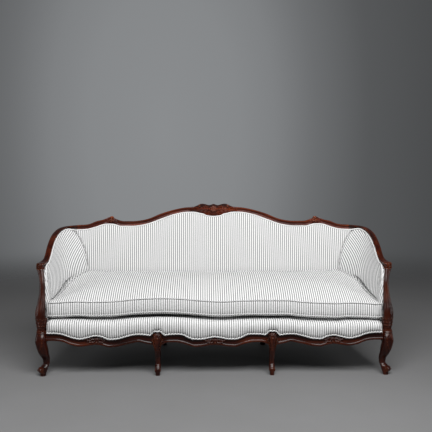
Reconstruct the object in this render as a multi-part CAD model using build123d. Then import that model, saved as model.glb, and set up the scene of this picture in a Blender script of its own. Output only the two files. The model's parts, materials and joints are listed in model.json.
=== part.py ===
from build123d import *
import math
import os

# A three-seat cabriole sofa: a show-wood frame on eight legs, closed padded arms that sweep into
# the back, a sprung platform and one long loose seat cushion.
# Millimetres. X runs to the right as one faces the sofa, Y from front to back, Z up from the floor.

# ---- Driving dimensions: the frame in plan ----
CORNER_LEG_X = 1000.0  # centre of the sofa to the centre of a front corner leg
MID_LEG_X = 332.0  # centre of the sofa to the centre of a middle leg
REAR_LEG_X = CORNER_LEG_X - 70.0  # the seat narrows towards the back
FRONT_BLOCK_Y = -312.0  # centre of the front leg blocks
REAR_BLOCK_Y = 275.0  # centre of the rear leg blocks
BLOCK_DEEP = 60.0  # front-to-back size of every leg block
CORNER_BLOCK_WIDE = 60.0
MID_BLOCK_WIDE = 50.0
BLOCK_BOTTOM_Z = 190.0
REAR_FOOT_Y = REAR_BLOCK_Y + 79.0  # the rear feet stand behind their blocks

# ---- Driving dimensions: the seat frame ----
FRAME_TOP_Z = 262.0
FRAME_BOTTOM_Z = 205.0
APRON_THICK = 24.0  # shaped show-wood part of the front rail
APRON_SET = 2.0  # the apron stands this far in front of the leg blocks
BAR_THICK = 32.0  # straight inner part of the front rail
ORNAMENT_RELIEF = 6.0
ORNAMENT_HALF_WIDE = 58.0
ORNAMENT_HALF_HIGH = 20.0
ORNAMENT_Z = 205.0
ORNAMENT_SHARE = 0.53  # of the outer bay, from the middle leg
SIDE_APRON_THICK = 15.0
SIDE_BAR_THICK = 20.0
BACK_RAIL_THICK = 48.0
BRACE_WIDE = 34.0
BRACE_LOW_Z = 212.0
BRACE_TOP_Z = 246.0
TACK_RAIL_HIGH = 38.0
TACK_RAIL_THICK = 22.0
BLOCK_FOOT = 6.0  # corner blocks over the rails' lower edge
BLOCK_HEAD = 8.0  # and under their upper edge
ARM_RINGS = 16  # sections of the arm rail
UPRIGHT_X = MID_LEG_X - 32.0
UPRIGHT_WIDE = 46.0
UPRIGHT_THICK = 18.0
STILE_FOOT = 44.0  # square foot of the back's stile
STILE_TOP_WIDE = 34.0
STILE_TOP_THICK = 20.0

# ---- Driving dimensions: crest rail, arm rails and posts ----
CREST_HALF = CORNER_LEG_X - 110.0  # centre of the sofa to the joint of crest rail and arm rail
CREST_END_Z = 799.0
CREST_DEEP = 36.0
CREST_FRONT_Y = REAR_BLOCK_Y + 20.0  # front of the crest rail at the height of its ends
CREST_RAKE = 0.20  # backward lean of the crest rail, millimetres in each millimetre up
ROSETTE_RADIUS = 27.0
ROSETTE_RELIEF = 9.0
ROSETTE_Z = CREST_END_Z + 110.0
POST_TOP_X = CORNER_LEG_X + 18.0
POST_TOP_Y = FRONT_BLOCK_Y + 87.0
POST_TOP_Z = 612.0
ARM_RAIL_WIDE = 30.0
ARM_RAIL_HIGH = 32.0
ARM_END_WIDE = 44.0
ARM_END_HIGH = 36.0

# ---- Driving dimensions: springs, covers and fasteners ----
WIRE_RADIUS = 1.75
SPRING_PITCH = 36.0
SPRING_WIDE = 56.0
SPRING_COUNT = 14
SPRING_HALF_SPAN = REAR_LEG_X - 70.0  # centre of the sofa to the outermost springs
CLIP_THICK = 1.2
CLIP_WIDE = 22.0
CLIP_DEEP = 14.0
HESSIAN_THICK = 1.0
COVER_THICK = 4.0
WEB_WIDE = 50.0
WEB_THICK = 2.0
ARM_WEB_WIDE = 40.0
BACK_WEB_COUNT = 12
DOWEL_RADIUS = 5.0
SMALL_DOWEL_RADIUS = 4.0
DOWEL_DEPTH = 22.0  # into each of the two pieces
SMALL_DOWEL_DEPTH = 13.0
RAIL_DOWEL_Z = (218.0, 247.0)
SIDE_DOWEL_Z = (212.0, 238.0)
SCREW_RADIUS = 2.5
SCREW_HEAD_RADIUS = 5.0
SCREW_HEAD_HIGH = 3.0
SCREW_Z = 232.5  # between the dowels
SCREW_AIM = 5.0  # from the leg's edge to where the screw enters it
SCREW_LONG = 68.0
CORNER_BLOCK_REACH = 60.0  # along each rail from the leg
CORNER_BLOCK_EDGE = 12.0
TACK_PITCH = 96.0
TACK_HEAD_RADIUS = 4.0
TACK_HEAD_HIGH = 1.0
TACK_SHANK_RADIUS = 0.8
TACK_SHANK_LONG = 9.0

# ---- Driving dimensions: upholstery ----
DECK_TOP_Z = 328.0
DECK_FRONT_Y = FRONT_BLOCK_Y - 42.0
DECK_BULGE = 9.0
DECK_BULGE_Z = 272.0
DECK_LOW_Z = FRAME_BOTTOM_Z - 20.0
ARM_IN_X = CORNER_LEG_X - 30.0  # inside face of an arm pad at its front, at seat level
ARM_IN_Y = FRONT_BLOCK_Y + 40.0
SEAM_X = CORNER_LEG_X - 189.0  # seam of back and arm at seat level
SEAM_Y = REAR_BLOCK_Y - 69.0
PAD_EDGE = 10.0  # thickness of the arm pad where it meets the rail
PAD_RAIL_GAP = 2.5  # arm pad to arm rail
BACK_PAD_FOOT = 54.0  # thickness of the back pad at seat level
BACK_PAD_EDGE = 10.0  # and under the crest rail
WELT = 10.0
CUSHION_FRONT_Y = FRONT_BLOCK_Y - 15.0
CUSHION_LOW_Z = 352.0  # lower seam of the boxing
CUSHION_SEAM_Z = 422.0  # upper front seam
CUSHION_BACK_Z = 462.0
CUSHION_PEAK_Z = 535.0
CUSHION_CLEAR = 6.0  # cushion to arm pads and back pad
CUSHION_PEAK_SHARE = 0.56  # of the way back, where the crown is highest
BELLY_SPREAD = 1.15  # how soon the underside comes down to the platform
DECK_ROLL_Y = CUSHION_FRONT_Y + 4  # where the platform's roll starts

# ---- Fits ----
TOUCH = 0.1  # glued or nailed faces
FIT = 0.1  # dowels and screws in their bores
SOFT = 0.5  # between soft solids of one body
REST = 0.8  # loose cushion over the platform

# ---- Outlines ----
# Crest rail: share of the half length, upper edge and lower edge over the ends' centre height.
CREST_LINE = [
    (0.0, 151, 72), (0.034, 143, 74), (0.055, 148, 78), (0.079, 152, 88), (0.10, 150, 91),
    (0.124, 139, 97), (0.167, 130, 99), (0.212, 127, 98), (0.302, 111, 81), (0.391, 87, 53),
    (0.48, 55, 25), (0.57, 40, 10), (0.63, 39, 9), (0.68, 41, 9), (0.722, 54, 19), (0.75, 66, 23),
    (0.775, 64, 23), (0.81, 50, 20), (0.86, 40, 5), (0.92, 20, -9), (1.0, 14, -14),
]
# Front rail: share of the bay, upper edge and lower edge over the floor.
CENTRE_BAY = [
    (0.0, 236, 182), (0.06, 242, 196), (0.13, 244, 196), (0.20, 241, 188), (0.255, 224, 178),
    (0.31, 215, 168), (0.39, 216, 172), (0.45, 224, 178), (0.5, 228, 180),
]
OUTER_BAY = [
    (0.0, 236, 180), (0.08, 242, 190), (0.135, 244, 199), (0.19, 241, 192), (0.255, 231, 184),
    (0.335, 218, 172), (0.41, 215, 168), (0.475, 230, 178), (0.54, 236, 184), (0.61, 227, 178),
    (0.685, 218, 173), (0.765, 228, 182), (0.85, 246, 202), (0.94, 252, 208), (1.0, 252, 208),
]
# Side rail: share of its length and lower edge over the floor.
SIDE_EDGE = [(0.0, 205), (0.18, 186), (0.38, 200), (0.5, 190), (0.62, 200), (0.82, 186), (1.0, 205)]
# Legs and posts as rings: offsets from the leg's centre, height, width and depth.
CORNER_LEG = [
    (2, -6, 262, 50, 50), (1, -20, 236, 56, 62), (2, -26, 208, 60, 68), (-4, -24, 172, 60, 64),
    (-12, -14, 130, 51, 54), (-20, 6, 92, 39, 41), (-20, 8, 70, 36, 38), (-5, -13, 44, 54, 54),
    (-3, -17, 22, 48, 48), (-4, -15, 0, 32, 32),
]
MID_LEG = [
    (0, -8, 262, 42, 40), (0, -20, 232, 47, 64), (0, -24, 204, 43, 66), (0, -20, 172, 36, 56),
    (0, -8, 125, 32, 44), (0, 4, 88, 29, 34), (0, 5, 68, 29, 33), (0, -14, 44, 40, 50),
    (0, -17, 22, 37, 46), (0, -15, 0, 26, 32),
]
POST = [
    (2, -5, 262, 50, 50), (0, -6, 288, 46, 46), (2, -12, 325, 54, 48), (6, -10, 365, 57, 50),
    (3, 10, 425, 44, 42), (0, 30, 480, 37, 36), (1, 46, 545, 38, 36), (9, 71, 588, 44, 42),
]
REAR_LEG = [(0, 190, 50, 60), (0.03, 165, 48, 52), (0.28, 115, 43, 44), (0.66, 55, 38, 39), (1.0, 0, 36, 38)]
# Arm rail: shares of the way from the crest rail joint to the top of the post, across, along, down.
ARM_PATH = [
    (0.0, 0.0, 0.0), (0.19, 0.011, 0.012), (0.53, 0.072, 0.035), (0.75, 0.179, 0.092),
    (0.867, 0.337, 0.202), (0.89, 0.504, 0.370), (0.89, 0.643, 0.572), (0.883, 0.744, 0.763),
    (0.89, 0.837, 0.902), (0.95, 0.93, 0.985), (1.0, 1.0, 1.0),
]
# Inside face of the arm at seat level: shares of the way from its front to the seam, across, along.
ARM_INSIDE = [
    (0.0, 0.0), (0.06, 0.14), (0.16, 0.287), (0.32, 0.48), (0.48, 0.64), (0.68, 0.79), (0.84, 0.905),
    (0.945, 0.967), (1.0, 1.0),
]
# Cushion: shares of the straight part of its back, then its fullness from the seam to its end.
CUSHION_STRAIGHT = [0.0, 0.3, 0.55, 0.75, 0.88, 0.96]
CUSHION_FULLNESS = [0.98, 0.96, 0.93, 0.88, 0.8, 0.68, 0.5, 0.3, 0.1]
PAD_RAIL_INDEX = [9, 8, 6, 5, 4, 3, 2, 0]  # arm rail points over the pad's rings, after the first

# ---- Derived places ----
APRON_FRONT_Y = FRONT_BLOCK_Y - BLOCK_DEEP / 2 - APRON_SET
BAR_FRONT_Y = APRON_FRONT_Y + APRON_THICK
BAR_BACK_Y = BAR_FRONT_Y + BAR_THICK
FRONT_BLOCK_BACK_Y = FRONT_BLOCK_Y + BLOCK_DEEP / 2
REAR_BLOCK_FRONT_Y = REAR_BLOCK_Y - BLOCK_DEEP / 2
BACK_RAIL_FRONT_Y = REAR_BLOCK_FRONT_Y
BACK_RAIL_BACK_Y = BACK_RAIL_FRONT_Y + BACK_RAIL_THICK
CREST_CENTRE_Y = CREST_FRONT_Y + CREST_DEEP / 2
ARM_END_Z = POST_TOP_Z + ARM_END_HIGH / 2 - 4
SPRING_Z = FRAME_TOP_Z + CLIP_THICK + WIRE_RADIUS
CLIP_GAP = 2 * WIRE_RADIUS + 0.2
HESSIAN_Z = FRAME_TOP_Z + 2 * CLIP_THICK + CLIP_GAP
PAD_FOOT_Z = HESSIAN_Z + HESSIAN_THICK + TOUCH  # underside of the platform and of the other pads
BACK_LAYERS = HESSIAN_THICK + WEB_THICK + 3 * TOUCH  # between the back pad and its frame
TACK_TOP_Z = FRAME_TOP_Z + TACK_RAIL_HIGH
FRONT_CLIP_Y = (BAR_FRONT_Y + BAR_BACK_Y) / 2
BACK_CLIP_Y = BACK_RAIL_FRONT_Y + CLIP_DEEP / 2 + 2
RAKE_ANGLE = math.degrees(math.atan(CREST_RAKE))


# ---- Small helpers ----
def ring(x, y, z, wide, deep):
    """A level rounded outline for a leg or a post."""
    return Pos(x, y, z) * RectangleRounded(wide, deep, 0.4 * min(wide, deep))


def block(x_low, x_high, y_low, y_high, z_low, z_high):
    """An upright block between six stated places."""
    size = (x_high - x_low, y_high - y_low, z_high - z_low)
    centre = ((x_low + x_high) / 2, (y_low + y_high) / 2, (z_low + z_high) / 2)
    return Pos(*centre) * Box(*size)


def mirrored(piece):
    """The same piece on the other side of the sofa."""
    return mirror(piece, Plane.YZ)


def largest(shape):
    """The main solid left by a cut."""
    return max(shape.solids(), key=lambda solid: solid.volume)


def upright_face(line, z_low=None):
    """A face in the XZ plane at Y = 0, between an upper and a lower edge given as (x, top, bottom)."""
    upper = [(x, 0, top) for x, top, low in line]
    lower = [(x, 0, low if z_low is None else z_low) for x, top, low in line]
    under = Line(lower[-1], lower[0]) if z_low is not None else Spline(*reversed(lower))
    edges = [Spline(*upper), Line(upper[-1], lower[-1]), under, Line(lower[0], upper[0])]
    return make_face(edges)


def front_prism(face, y_low, y_high):
    """An XZ face at Y = 0 carried from one Y to another."""
    return Pos(0, y_low, 0) * extrude(face, amount=y_high - y_low, dir=(0, 1, 0))


def plan_prism(points, z_low, z_high):
    """A level polygon carried from one height to another."""
    return Pos(0, 0, z_low) * extrude(make_face(Polyline(*points, close=True)), amount=z_high - z_low)


def on_line(z, low, high):
    """The Y of a straight lean through two (Y, Z) places."""
    return low[0] + (z - low[1]) * (high[0] - low[0]) / (high[1] - low[1])


def crest_front_y(z):
    return CREST_FRONT_Y + (z - CREST_END_Z) * CREST_RAKE


def side_line_x(y):
    """Centre line of a side rail, from the front block's centre to the rear block's."""
    share = (y - FRONT_BLOCK_BACK_Y) / (REAR_BLOCK_FRONT_Y - FRONT_BLOCK_BACK_Y)
    return CORNER_LEG_X + share * (REAR_LEG_X - CORNER_LEG_X)


def arm_tack_inside_x(y):
    """Inside face of the arm's tack rail."""
    return side_line_x(y) - SIDE_BAR_THICK / 2 - 2


def bay_line(outline, x_low, x_high):
    """A bay's outline between two leg blocks."""
    return [(x_low + share * (x_high - x_low), top, low) for share, top, low in outline]


def arm_point(index):
    across, along, down = ARM_PATH[index]
    return Vector(
        CREST_HALF + across * (POST_TOP_X + 4 - CREST_HALF),
        CREST_CENTRE_Y + along * (POST_TOP_Y - CREST_CENTRE_Y),
        CREST_END_Z + down * (ARM_END_Z - CREST_END_Z),
    )


def arm_inside(index):
    across, along = ARM_INSIDE[index]
    return Vector(ARM_IN_X + across * (SEAM_X - ARM_IN_X), ARM_IN_Y + along * (SEAM_Y - ARM_IN_Y))


def back_inside_y(z):
    """Inside face of the back, upright at the seat and leaning more towards the crest rail."""
    rise = (z - PAD_FOOT_Z) / (CREST_END_Z - 4 - PAD_FOOT_Z)
    return SEAM_Y + (crest_front_y(CREST_END_Z) - BACK_PAD_EDGE - SEAM_Y) * rise * rise


def back_frame_y(z):
    """Plane of the back's webbing, at the rear of the back pad."""
    low = (SEAM_Y + BACK_PAD_FOOT, PAD_FOOT_Z)
    top_z = CREST_END_Z + CREST_LINE[7][2]
    high = (crest_front_y(top_z) + BACK_PAD_EDGE, top_z)
    return on_line(z, low, high)


# ---- Dowels ----
class Dowel:
    """A dowel through a joint: its place, its axis, its radius and its depth in each piece."""

    def __init__(self, x, y, z, axis, radius=DOWEL_RADIUS, depth=DOWEL_DEPTH):
        self.place = Plane(origin=(x, y, z), z_dir=axis)
        self.radius = radius
        self.depth = depth

    def solid(self, grow=0.0):
        return self.place * Cylinder(self.radius + grow, 2 * self.depth + 2 * grow)


def right_side_dowels():
    bar_y = (BAR_FRONT_Y + BAR_BACK_Y) / 2
    rail_y = (BACK_RAIL_FRONT_Y + BACK_RAIL_BACK_Y) / 2
    found = {"front": [], "back": [], "side": [], "brace": [], "post": [], "arm": [], "stile": [], "crest": []}
    for z in RAIL_DOWEL_Z:
        for x in (MID_LEG_X - MID_BLOCK_WIDE / 2, MID_LEG_X + MID_BLOCK_WIDE / 2):
            found["front"].append(Dowel(x, bar_y, z, (1, 0, 0)))
            found["back"].append(Dowel(x, rail_y, z, (1, 0, 0)))
        found["front"].append(Dowel(CORNER_LEG_X - CORNER_BLOCK_WIDE / 2, bar_y, z, (1, 0, 0)))
        found["back"].append(Dowel(REAR_LEG_X - MID_BLOCK_WIDE / 2, rail_y, z, (1, 0, 0)))
    for z in SIDE_DOWEL_Z:
        found["side"].append(Dowel(CORNER_LEG_X + 3, FRONT_BLOCK_BACK_Y, z, (0, 1, 0)))
        found["side"].append(Dowel(REAR_LEG_X + 4, REAR_BLOCK_FRONT_Y, z, (0, 1, 0)))
    for y in (FRONT_BLOCK_BACK_Y, REAR_BLOCK_FRONT_Y):
        found["brace"].append(Dowel(MID_LEG_X, y, SCREW_Z, (0, 1, 0)))
    found["post"].append(Dowel(CORNER_LEG_X + 3, FRONT_BLOCK_Y - 5, FRAME_TOP_Z, (0, 0, 1), depth=20))
    small = {"radius": SMALL_DOWEL_RADIUS, "depth": SMALL_DOWEL_DEPTH}
    found["arm"].append(Dowel(POST_TOP_X, POST_TOP_Y, POST_TOP_Z, (0, 0, 1), **small))
    found["crest"].append(Dowel(CREST_HALF, CREST_CENTRE_Y, CREST_END_Z, (1, 0, 0), **small))
    return found


# ---- Legs ----
def curved_leg(rings):
    """A leg smooth through its rings down to the last but one, with a straight taper to the floor."""
    return loft(rings[:-1]) + loft(rings[-2:], ruled=True)


def corner_leg():
    """A front corner leg: cabriole, with a scroll foot and a square block for the rails."""
    rings = [ring(CORNER_LEG_X + x, FRONT_BLOCK_Y + y, z, wide, deep) for x, y, z, wide, deep in CORNER_LEG]
    half = CORNER_BLOCK_WIDE / 2
    square = block(
        CORNER_LEG_X - half, CORNER_LEG_X + half, FRONT_BLOCK_Y - half, FRONT_BLOCK_Y + half,
        BLOCK_BOTTOM_Z, FRAME_TOP_Z,
    )
    return curved_leg(rings) + square


def mid_leg():
    """A front middle leg, slimmer, with its knee in front of the rails."""
    rings = [ring(MID_LEG_X + x, FRONT_BLOCK_Y + y, z, wide, deep) for x, y, z, wide, deep in MID_LEG]
    half = MID_BLOCK_WIDE / 2
    square = block(
        MID_LEG_X - half, MID_LEG_X + half, FRONT_BLOCK_Y - BLOCK_DEEP / 2, FRONT_BLOCK_BACK_Y,
        BLOCK_BOTTOM_Z, FRAME_TOP_Z,
    )
    return curved_leg(rings) + square


def rear_leg(x):
    """A square rear leg, raked back below its block."""
    reach = REAR_FOOT_Y - REAR_BLOCK_Y
    rings = [ring(x, REAR_BLOCK_Y + share * reach, z, wide, deep) for share, z, wide, deep in REAR_LEG]
    half = MID_BLOCK_WIDE / 2
    square = block(
        x - half, x + half, REAR_BLOCK_FRONT_Y, REAR_BLOCK_Y + BLOCK_DEEP / 2, BLOCK_BOTTOM_Z, FRAME_TOP_Z
    )
    return loft(rings) + square


def rear_corner_leg(arm_rail):
    """A rear corner leg that goes on up as the back's stile, as far as the arm rail."""
    lean = [
        Pos(REAR_LEG_X, REAR_BLOCK_Y + 5, FRAME_TOP_Z) * Rectangle(STILE_FOOT, STILE_FOOT),
        Pos(arm_point(1).X + 5, arm_point(1).Y - 3, CREST_END_Z) * Rectangle(STILE_TOP_WIDE, STILE_TOP_THICK),
    ]
    stile = largest(loft(lean) - arm_rail)
    return rear_leg(REAR_LEG_X) + stile


# ---- Seat frame ----
def front_rail(outline, x_low, x_high, ornament_x):
    """A front rail: shaped apron, straight bar behind it and the raised ground of its ornament."""
    apron = front_prism(upright_face(bay_line(outline, x_low, x_high)), APRON_FRONT_Y, BAR_FRONT_Y)
    bar = block(x_low, x_high, BAR_FRONT_Y, BAR_BACK_Y, FRAME_BOTTOM_Z, FRAME_TOP_Z)
    shape = Ellipse(ORNAMENT_HALF_WIDE, ORNAMENT_HALF_HIGH)
    raised = Pos(ornament_x, APRON_FRONT_Y, ORNAMENT_Z) * Rot(X=90) * extrude(shape, ORNAMENT_RELIEF)
    return apron + bar + raised


def centre_outline():
    """Both halves of the centre bay, the left one mirrored from the right."""
    return [(share, top, low) for share, top, low in CENTRE_BAY] + [
        (1 - share, top, low) for share, top, low in reversed(CENTRE_BAY[:-1])
    ]


def side_rail():
    """A side rail between the corner legs, splayed in plan, with a scalloped lower edge."""
    start_y, end_y = FRONT_BLOCK_BACK_Y, REAR_BLOCK_FRONT_Y
    length = end_y - start_y
    splay = math.degrees(math.atan((REAR_LEG_X - CORNER_LEG_X) / length))
    line = [(-20 + share * (length + 40), FRAME_TOP_Z, low) for share, low in SIDE_EDGE]
    apron = front_prism(upright_face_flat_top(line), -SIDE_APRON_THICK, 0)
    bar = block(line[0][0], line[-1][0], 0, SIDE_BAR_THICK, FRAME_BOTTOM_Z, FRAME_TOP_Z)
    lengthwise = Pos(CORNER_LEG_X + 5, start_y, 0) * Rot(Z=90 - splay)
    rail = lengthwise * (apron + bar)
    keep = block(0, 2 * CORNER_LEG_X, start_y, end_y, 0, 2 * FRAME_TOP_Z)
    return rail & keep


def upright_face_flat_top(line):
    """A face in the XZ plane with a straight upper edge and a shaped lower edge."""
    upper = [(line[0][0], 0, line[0][1]), (line[-1][0], 0, line[-1][1])]
    lower = [(x, 0, low) for x, top, low in line]
    return make_face([Line(*upper), Line(upper[1], lower[-1]), Spline(*reversed(lower)), Line(lower[0], upper[0])])


def back_rail(x_low, x_high):
    return block(x_low, x_high, BACK_RAIL_FRONT_Y, BACK_RAIL_BACK_Y, FRAME_BOTTOM_Z, FRAME_TOP_Z)


def seat_brace():
    half = BRACE_WIDE / 2
    return block(
        MID_LEG_X - half, MID_LEG_X + half, FRONT_BLOCK_BACK_Y, REAR_BLOCK_FRONT_Y, BRACE_LOW_Z, BRACE_TOP_Z
    )


# ---- Show-wood above the seat ----
def arm_post():
    """The S-shaped arm support over a front corner leg."""
    rings = [ring(CORNER_LEG_X + x, FRONT_BLOCK_Y + y, z, wide, deep) for x, y, z, wide, deep in POST]
    rings.append(ring(POST_TOP_X, POST_TOP_Y, POST_TOP_Z, 44, 44))
    return loft(rings)


def crest_edge(which, lift=0.0):
    """Points of the crest rail's upper (1) or lower (2) edge, from end to end, in the XZ plane."""
    right = [(point[0] * CREST_HALF, 0, CREST_END_Z + point[which] + lift) for point in CREST_LINE]
    return [(-x, y, z) for x, y, z in reversed(right[1:])] + right


def lean_slab(front, thick, half, low_z, high_z):
    """A slab across the sofa whose front leans as front(z), as a prism along X."""
    corners = [(0, front(z) + out, z) for z, out in ((low_z, 0), (high_z, 0), (high_z, thick), (low_z, thick))]
    return Pos(-half, 0, 0) * extrude(make_face(Polyline(*corners, close=True)), amount=2 * half, dir=(1, 0, 0))


def crest_rail():
    """The serpentine crest rail with the raised ground of its centre rosette."""
    upper, lower = crest_edge(1), crest_edge(2)
    face = make_face([
        Spline(*upper), Line(upper[-1], lower[-1]), Spline(*reversed(lower)), Line(lower[0], upper[0])
    ])
    slab = lean_slab(crest_front_y, CREST_DEEP, CREST_HALF, CREST_END_Z - 60, CREST_END_Z + 200)
    rail = front_prism(face, 0, 2 * REAR_FOOT_Y) & slab
    rosette = Pos(0, crest_front_y(ROSETTE_Z) + 4, ROSETTE_Z) * Rot(X=90 + RAKE_ANGLE) * extrude(
        Circle(ROSETTE_RADIUS), ROSETTE_RELIEF + 4
    )
    return rail + rosette


def arm_rail():
    """An arm rail: round the back corner, down along the arm and out into a scroll over the post."""
    points = [arm_point(index) for index in range(len(ARM_PATH))]
    path = Spline(*points, tangents=[(1, 0, 0), (0.35, -1, -0.1)])
    sections = []
    for step in range(ARM_RINGS + 1):
        share = step / ARM_RINGS
        grow = max(0.0, (share - 0.8) / 0.2)
        wide = ARM_RAIL_WIDE + (ARM_END_WIDE - ARM_RAIL_WIDE) * grow
        high = ARM_RAIL_HIGH + (ARM_END_HIGH - ARM_RAIL_HIGH) * grow - 4 * max(0.0, 1 - 6 * share)
        sections.append(across_path(path @ share, path % share, wide, high))
    sections.append(across_path(path @ 1 + (path % 1) * 18, path % 1, 0.7 * ARM_END_WIDE, 0.8 * ARM_END_HIGH))
    keep = block(CREST_HALF, 2 * CORNER_LEG_X, -2 * REAR_FOOT_Y, 2 * REAR_FOOT_Y, POST_TOP_Z, 2 * POST_TOP_Z)
    return largest(loft(sections) & keep)


def across_path(place, along, wide, high):
    """A rounded section square to a path."""
    across = Vector(-along.Y, along.X, 0).normalized()
    return Plane(place, x_dir=across, z_dir=along) * RectangleRounded(wide, high, 0.3 * min(wide, high))


# ---- Frame of the back and arms ----
def lean_bar(x, low, high, wide, thick):
    """A bar leaning in the YZ plane between two (Y, Z) places of its front face."""
    ends = [Pos(x, y + thick / 2, z) * Rectangle(wide, thick) for y, z in (low, high)]
    return loft(ends)


def back_upright(crest):
    """An upright of the back frame, from the tack rail to the crest rail."""
    low_z, high_z = TACK_TOP_Z, CREST_END_Z + crest_low(UPRIGHT_X) + 20
    bar = lean_bar(
        UPRIGHT_X, (back_frame_y(low_z) + BACK_LAYERS, low_z), (back_frame_y(high_z) + BACK_LAYERS, high_z),
        UPRIGHT_WIDE, UPRIGHT_THICK,
    )
    return largest(bar - crest)


def back_tack_rail(stile):
    front = back_frame_y(TACK_TOP_Z) + BACK_LAYERS
    bar = block(-REAR_LEG_X, REAR_LEG_X, front, front + TACK_RAIL_THICK, FRAME_TOP_Z, TACK_TOP_Z)
    return largest(bar - stile - mirrored(stile))


def arm_tack_rail(post, stile):
    y_low, y_high = FRONT_BLOCK_Y, REAR_BLOCK_FRONT_Y + 20
    plan = [
        (arm_tack_inside_x(y_low), y_low), (arm_tack_inside_x(y_low) + TACK_RAIL_THICK, y_low),
        (arm_tack_inside_x(y_high) + TACK_RAIL_THICK, y_high), (arm_tack_inside_x(y_high), y_high),
    ]
    return largest(plan_prism(plan, FRAME_TOP_Z, TACK_TOP_Z) - post - stile)


# ---- Seat support ----
def zigzag_spring(x):
    """One flat zigzag spring from the front rail to the back rail: cross bars and half turns."""
    turns = round((BACK_CLIP_Y - FRONT_CLIP_Y) / SPRING_PITCH)
    pitch = (BACK_CLIP_Y - FRONT_CLIP_Y) / turns
    reach = SPRING_WIDE / 2 - pitch / 2
    edges = []
    for turn in range(turns + 1):
        y = FRONT_CLIP_Y + turn * pitch
        side = 1 if turn % 2 == 0 else -1
        edges.append(Line((x - side * reach, y, SPRING_Z), (x + side * reach, y, SPRING_Z)))
        if turn < turns:
            edge_x = x + side * reach
            middle = (edge_x + side * pitch / 2, y + pitch / 2, SPRING_Z)
            edges.append(ThreePointArc((edge_x, y, SPRING_Z), middle, (edge_x, y + pitch, SPRING_Z)))
    path = Wire(edges)
    return sweep(Plane(path @ 0, z_dir=path % 0) * Circle(WIRE_RADIUS), path)


def spring_clip(x, y, back):
    """A bent clip over the end bar of a spring; back is 1 at the back rail and -1 at the front."""
    half = CLIP_DEEP / 2
    base = block(x - CLIP_WIDE / 2, x + CLIP_WIDE / 2, y - half, y + half, FRAME_TOP_Z, FRAME_TOP_Z + CLIP_THICK)
    top = Pos(0, 0, CLIP_THICK + CLIP_GAP) * base
    wall_y = y + back * (half - CLIP_THICK / 2)
    wall = block(
        x - CLIP_WIDE / 2, x + CLIP_WIDE / 2, wall_y - CLIP_THICK / 2, wall_y + CLIP_THICK / 2,
        FRAME_TOP_Z, HESSIAN_Z,
    )
    return base + top + wall


def spring_places():
    step = 2 * SPRING_HALF_SPAN / (SPRING_COUNT - 1)
    return [-SPRING_HALF_SPAN + step * index for index in range(SPRING_COUNT)]


def seat_plan(inset, front_y, back_y):
    """Plan of what lies between the arm pads: along their inside faces, then across the back."""
    inside = [arm_inside(index) for index in range(len(ARM_INSIDE))]
    right = []
    for index, point in enumerate(inside):
        before = inside[max(0, index - 1)]
        after = inside[min(len(inside) - 1, index + 1)]
        along = (after - before).normalized()
        right.append((point.X - inset * along.Y, min(back_y, point.Y + inset * along.X)))
    right.insert(0, (right[0][0], front_y))
    return right


def whole_plan(right):
    """A right-hand plan line and its mirror image as one closed polygon."""
    return right + [(-x, y) for x, y in reversed(right)]


def seat_hessian():
    """The hessian over the springs, out to the arm tack rails."""
    post_x = CORNER_LEG_X - CORNER_BLOCK_WIDE / 2
    front_y, turn_y, back_y = BAR_FRONT_Y + 2, FRONT_BLOCK_BACK_Y + 2, REAR_BLOCK_FRONT_Y + 8
    plan = [
        (post_x, front_y), (post_x, turn_y), (arm_tack_inside_x(turn_y) - SOFT, turn_y),
        (arm_tack_inside_x(back_y) - SOFT, back_y),
    ]
    return plan_prism(whole_plan(plan), HESSIAN_Z, HESSIAN_Z + HESSIAN_THICK)


# ---- Upholstery ----
def under_platform_roll(outline, x_low, x_high):
    """Room that a front rail and its welt take under the platform's roll."""
    line = [(x, top + WELT + SOFT, low) for x, top, low in bay_line(outline, x_low, x_high)]
    return front_prism(upright_face(line, BLOCK_BOTTOM_Z / 2), 2 * DECK_FRONT_Y, BAR_FRONT_Y)


def seat_deck():
    """The sprung platform's stuffing and cover, with its roll over the front rail."""
    bar_clear_y = BAR_FRONT_Y - SOFT
    back_y = SEAM_Y - SOFT
    profile = make_face([
        Line((0, back_y, PAD_FOOT_Z), (0, bar_clear_y, PAD_FOOT_Z)),
        Line((0, bar_clear_y, PAD_FOOT_Z), (0, bar_clear_y, DECK_LOW_Z)),
        Line((0, bar_clear_y, DECK_LOW_Z), (0, DECK_FRONT_Y, DECK_LOW_Z)),
        ThreePointArc(
            (0, DECK_FRONT_Y, DECK_LOW_Z), (0, DECK_FRONT_Y - DECK_BULGE, DECK_BULGE_Z),
            (0, DECK_ROLL_Y, DECK_TOP_Z),
        ),
        Line((0, DECK_ROLL_Y, DECK_TOP_Z), (0, back_y, DECK_TOP_Z)),
        Line((0, back_y, DECK_TOP_Z), (0, back_y, PAD_FOOT_Z)),
    ])
    half = CORNER_LEG_X
    slab = Pos(-half, 0, 0) * extrude(profile, amount=2 * half, dir=(1, 0, 0))
    plan = seat_plan(SOFT, -2 * abs(DECK_FRONT_Y), SEAM_Y)
    plan = [(min(x, CORNER_LEG_X - CORNER_BLOCK_WIDE / 2 - SOFT), y) for x, y in plan]
    deck = slab & plan_prism(whole_plan(plan), 0, 2 * DECK_TOP_Z)
    mid_low, mid_high = MID_LEG_X - MID_BLOCK_WIDE / 2, MID_LEG_X + MID_BLOCK_WIDE / 2
    outer = under_platform_roll(OUTER_BAY, mid_high, CORNER_LEG_X - CORNER_BLOCK_WIDE / 2)
    cap = block(mid_low - SOFT, mid_high + SOFT, 2 * DECK_FRONT_Y, BAR_FRONT_Y, 0, FRAME_TOP_Z + SOFT)
    deck = deck - under_platform_roll(centre_outline(), -mid_low, mid_low)
    for room in (outer, cap):
        deck = deck - room - mirrored(room)
    return largest(deck)


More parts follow.
